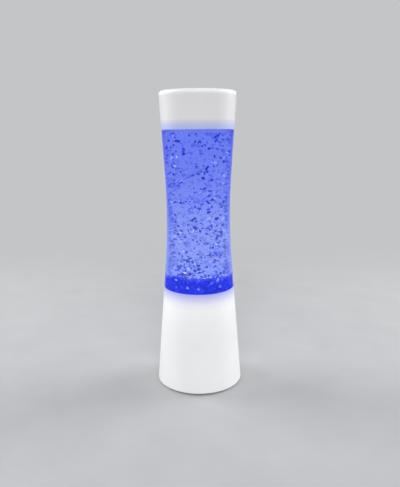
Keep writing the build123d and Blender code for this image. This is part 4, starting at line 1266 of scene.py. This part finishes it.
# plain pale paper sweep round the lamp; away from it the sight rays meet the backdrop's own tone,
# from plainFrom to plainTo along the paper
sweepShape = {
    "floorRings": (2.0, 300.0, 800.0),
    "flatRadius": 1300.0,
    "sweepRadius": 1000.0,
    "wallHeight": 1100.0,
    "arcSteps": 24,
    "steps": 96,
    "plainFrom": 300.0,
    "plainTo": 850.0,
    "backdrop": "#c4c5c7",
}
sweepPaper = {
    "name": "mattPaperSweep",
    "dark": "#b0b1b3",
    "light": "#b6b7b9",
    "patch": 60,
    "grain": 1.5,
    "rough": (0.6, 0.7),
    "relief": 0.02,
    "specular": 0.2,
}


def buildSweep():
    # flat round floor, quarter circle (r + R sin a, R - R cos a), then an upright wall, all turned
    # about Z, with a fan at the centre
    s = sweepShape
    outside = s["flatRadius"] + s["sweepRadius"]
    arc = np.linspace(0, np.pi / 2, s["arcSteps"])
    bend = s["flatRadius"] + s["sweepRadius"] * np.sin(arc)
    lift = s["sweepRadius"] * (1 - np.cos(arc))
    radius = np.concatenate([s["floorRings"], bend, [outside]])
    height = np.concatenate([np.zeros(len(s["floorRings"])), lift, [s["wallHeight"]]])
    points = revolved(radius[:, None], height[:, None], s["steps"]).reshape(-1, 3)
    faces = ringFaces(len(radius), s["steps"], False)[:, ::-1]
    middle = fan(np.arange(s["steps"]), len(points))
    points = np.concatenate([points, [[0, 0, 0]]])
    sweep = addObject("studio_sweep", makeMesh("studio_sweep", points, [faces, middle], True))
    return sweep


def sweepMaterial():
    # Matt paper. Near the lamp it takes light and shadow. Further away the paper and its plain
    # tone are mixed by (distance's smooth share) times (1 for a ray of sight, mirrored or
    # refracted ones among them, else 0).
    s = sweepShape
    material = finish(sweepPaper)
    tree = material.node_tree
    output = next(n for n in tree.nodes if n.type == "OUTPUT_MATERIAL")
    paper = output.inputs["Surface"].links[0].from_socket
    place = addNode(tree, "ShaderNodeTexCoord")
    away = addNode(
        tree, "ShaderNodeVectorMath", {"operation": "LENGTH"}, {0: place.outputs["Object"]}
    )
    far = addNode(
        tree,
        "ShaderNodeMapRange",
        {
            "interpolation_type": "SMOOTHSTEP",
            "From Min": s["plainFrom"] * millimetre,
            "From Max": s["plainTo"] * millimetre,
        },
        {"Value": away.outputs["Value"]},
    )
    sight = addNode(tree, "ShaderNodeLightPath")
    seen = sight.outputs["Is Camera Ray"]
    for ray in ("Is Glossy Ray", "Is Transmission Ray"):
        seen = addNode(
            tree, "ShaderNodeMath", {"operation": "MAXIMUM"}, {0: seen, 1: sight.outputs[ray]}
        ).outputs[0]
    share = addNode(
        tree, "ShaderNodeMath", {"operation": "MULTIPLY"}, {0: far.outputs[0], 1: seen}
    )
    tone = addNode(tree, "ShaderNodeEmission", {"Color": hexColour(s["backdrop"])})
    mixed = addNode(
        tree, "ShaderNodeMixShader", {}, {0: share.outputs[0], 1: paper, 2: tone.outputs[0]}
    )
    tree.links.new(mixed.outputs[0], output.inputs["Surface"])
    return material


sweep = buildSweep()
sweep.data.materials.append(sweepMaterial())

# each softbox has its place, its size across and up, and its watts
studio = {
    "softboxes": {
        "leftSoftbox": ((-1150.0, 460.0, 780.0), (900.0, 900.0), 13.6),
        "rightSoftbox": ((1150.0, 460.0, 780.0), (900.0, 900.0), 13.6),
        "frontFill": ((0.0, -2900.0, 2200.0), (2200.0, 1600.0), 76.5),
        "topFill": ((0.0, 200.0, 1500.0), (900.0, 900.0), 1.0),
    },
    "aim": (0.0, 0.0, 170.0),
    "ambient": 0.3,
}


def addSoftbox(name, place, size, watts):
    # a rectangle of light whose own -Z points from its place to the aim
    data = bpy.data.lights.new(name, "AREA")
    data.shape = "RECTANGLE"
    data.size, data.size_y = size[0] * millimetre, size[1] * millimetre
    data.energy = watts
    box = addObject(name, data)
    box.location = Vector(place) * millimetre
    aim = Vector(studio["aim"]) * millimetre - box.location
    box.rotation_euler = aim.to_track_quat("-Z", "Y").to_euler()


def lightStudio():
    # softboxes and an even white world; where sight passes over the sweep's rim, the world shows
    # the backdrop's tone
    for name, (place, size, watts) in studio["softboxes"].items():
        addSoftbox(name, place, size, watts)
    world = bpy.data.worlds.new("paleStudio")
    bpy.context.scene.world = world
    world.use_nodes = True
    tree = world.node_tree
    tree.nodes.clear()
    ambient = addNode(
        tree,
        "ShaderNodeBackground",
        {"Color": hexColour("#ffffff"), "Strength": studio["ambient"]},
    )
    beyond = addNode(
        tree, "ShaderNodeBackground", {"Color": hexColour(sweepShape["backdrop"]), "Strength": 1.0}
    )
    ray = addNode(tree, "ShaderNodeLightPath")
    seen = addNode(
        tree,
        "ShaderNodeMixShader",
        {},
        {0: ray.outputs["Is Camera Ray"], 1: ambient.outputs[0], 2: beyond.outputs[0]},
    )
    addNode(tree, "ShaderNodeOutputWorld", {}, {"Surface": seen.outputs[0]})


lightStudio()
bpy.context.scene.view_settings.view_transform = "Standard"
print("studio lit")
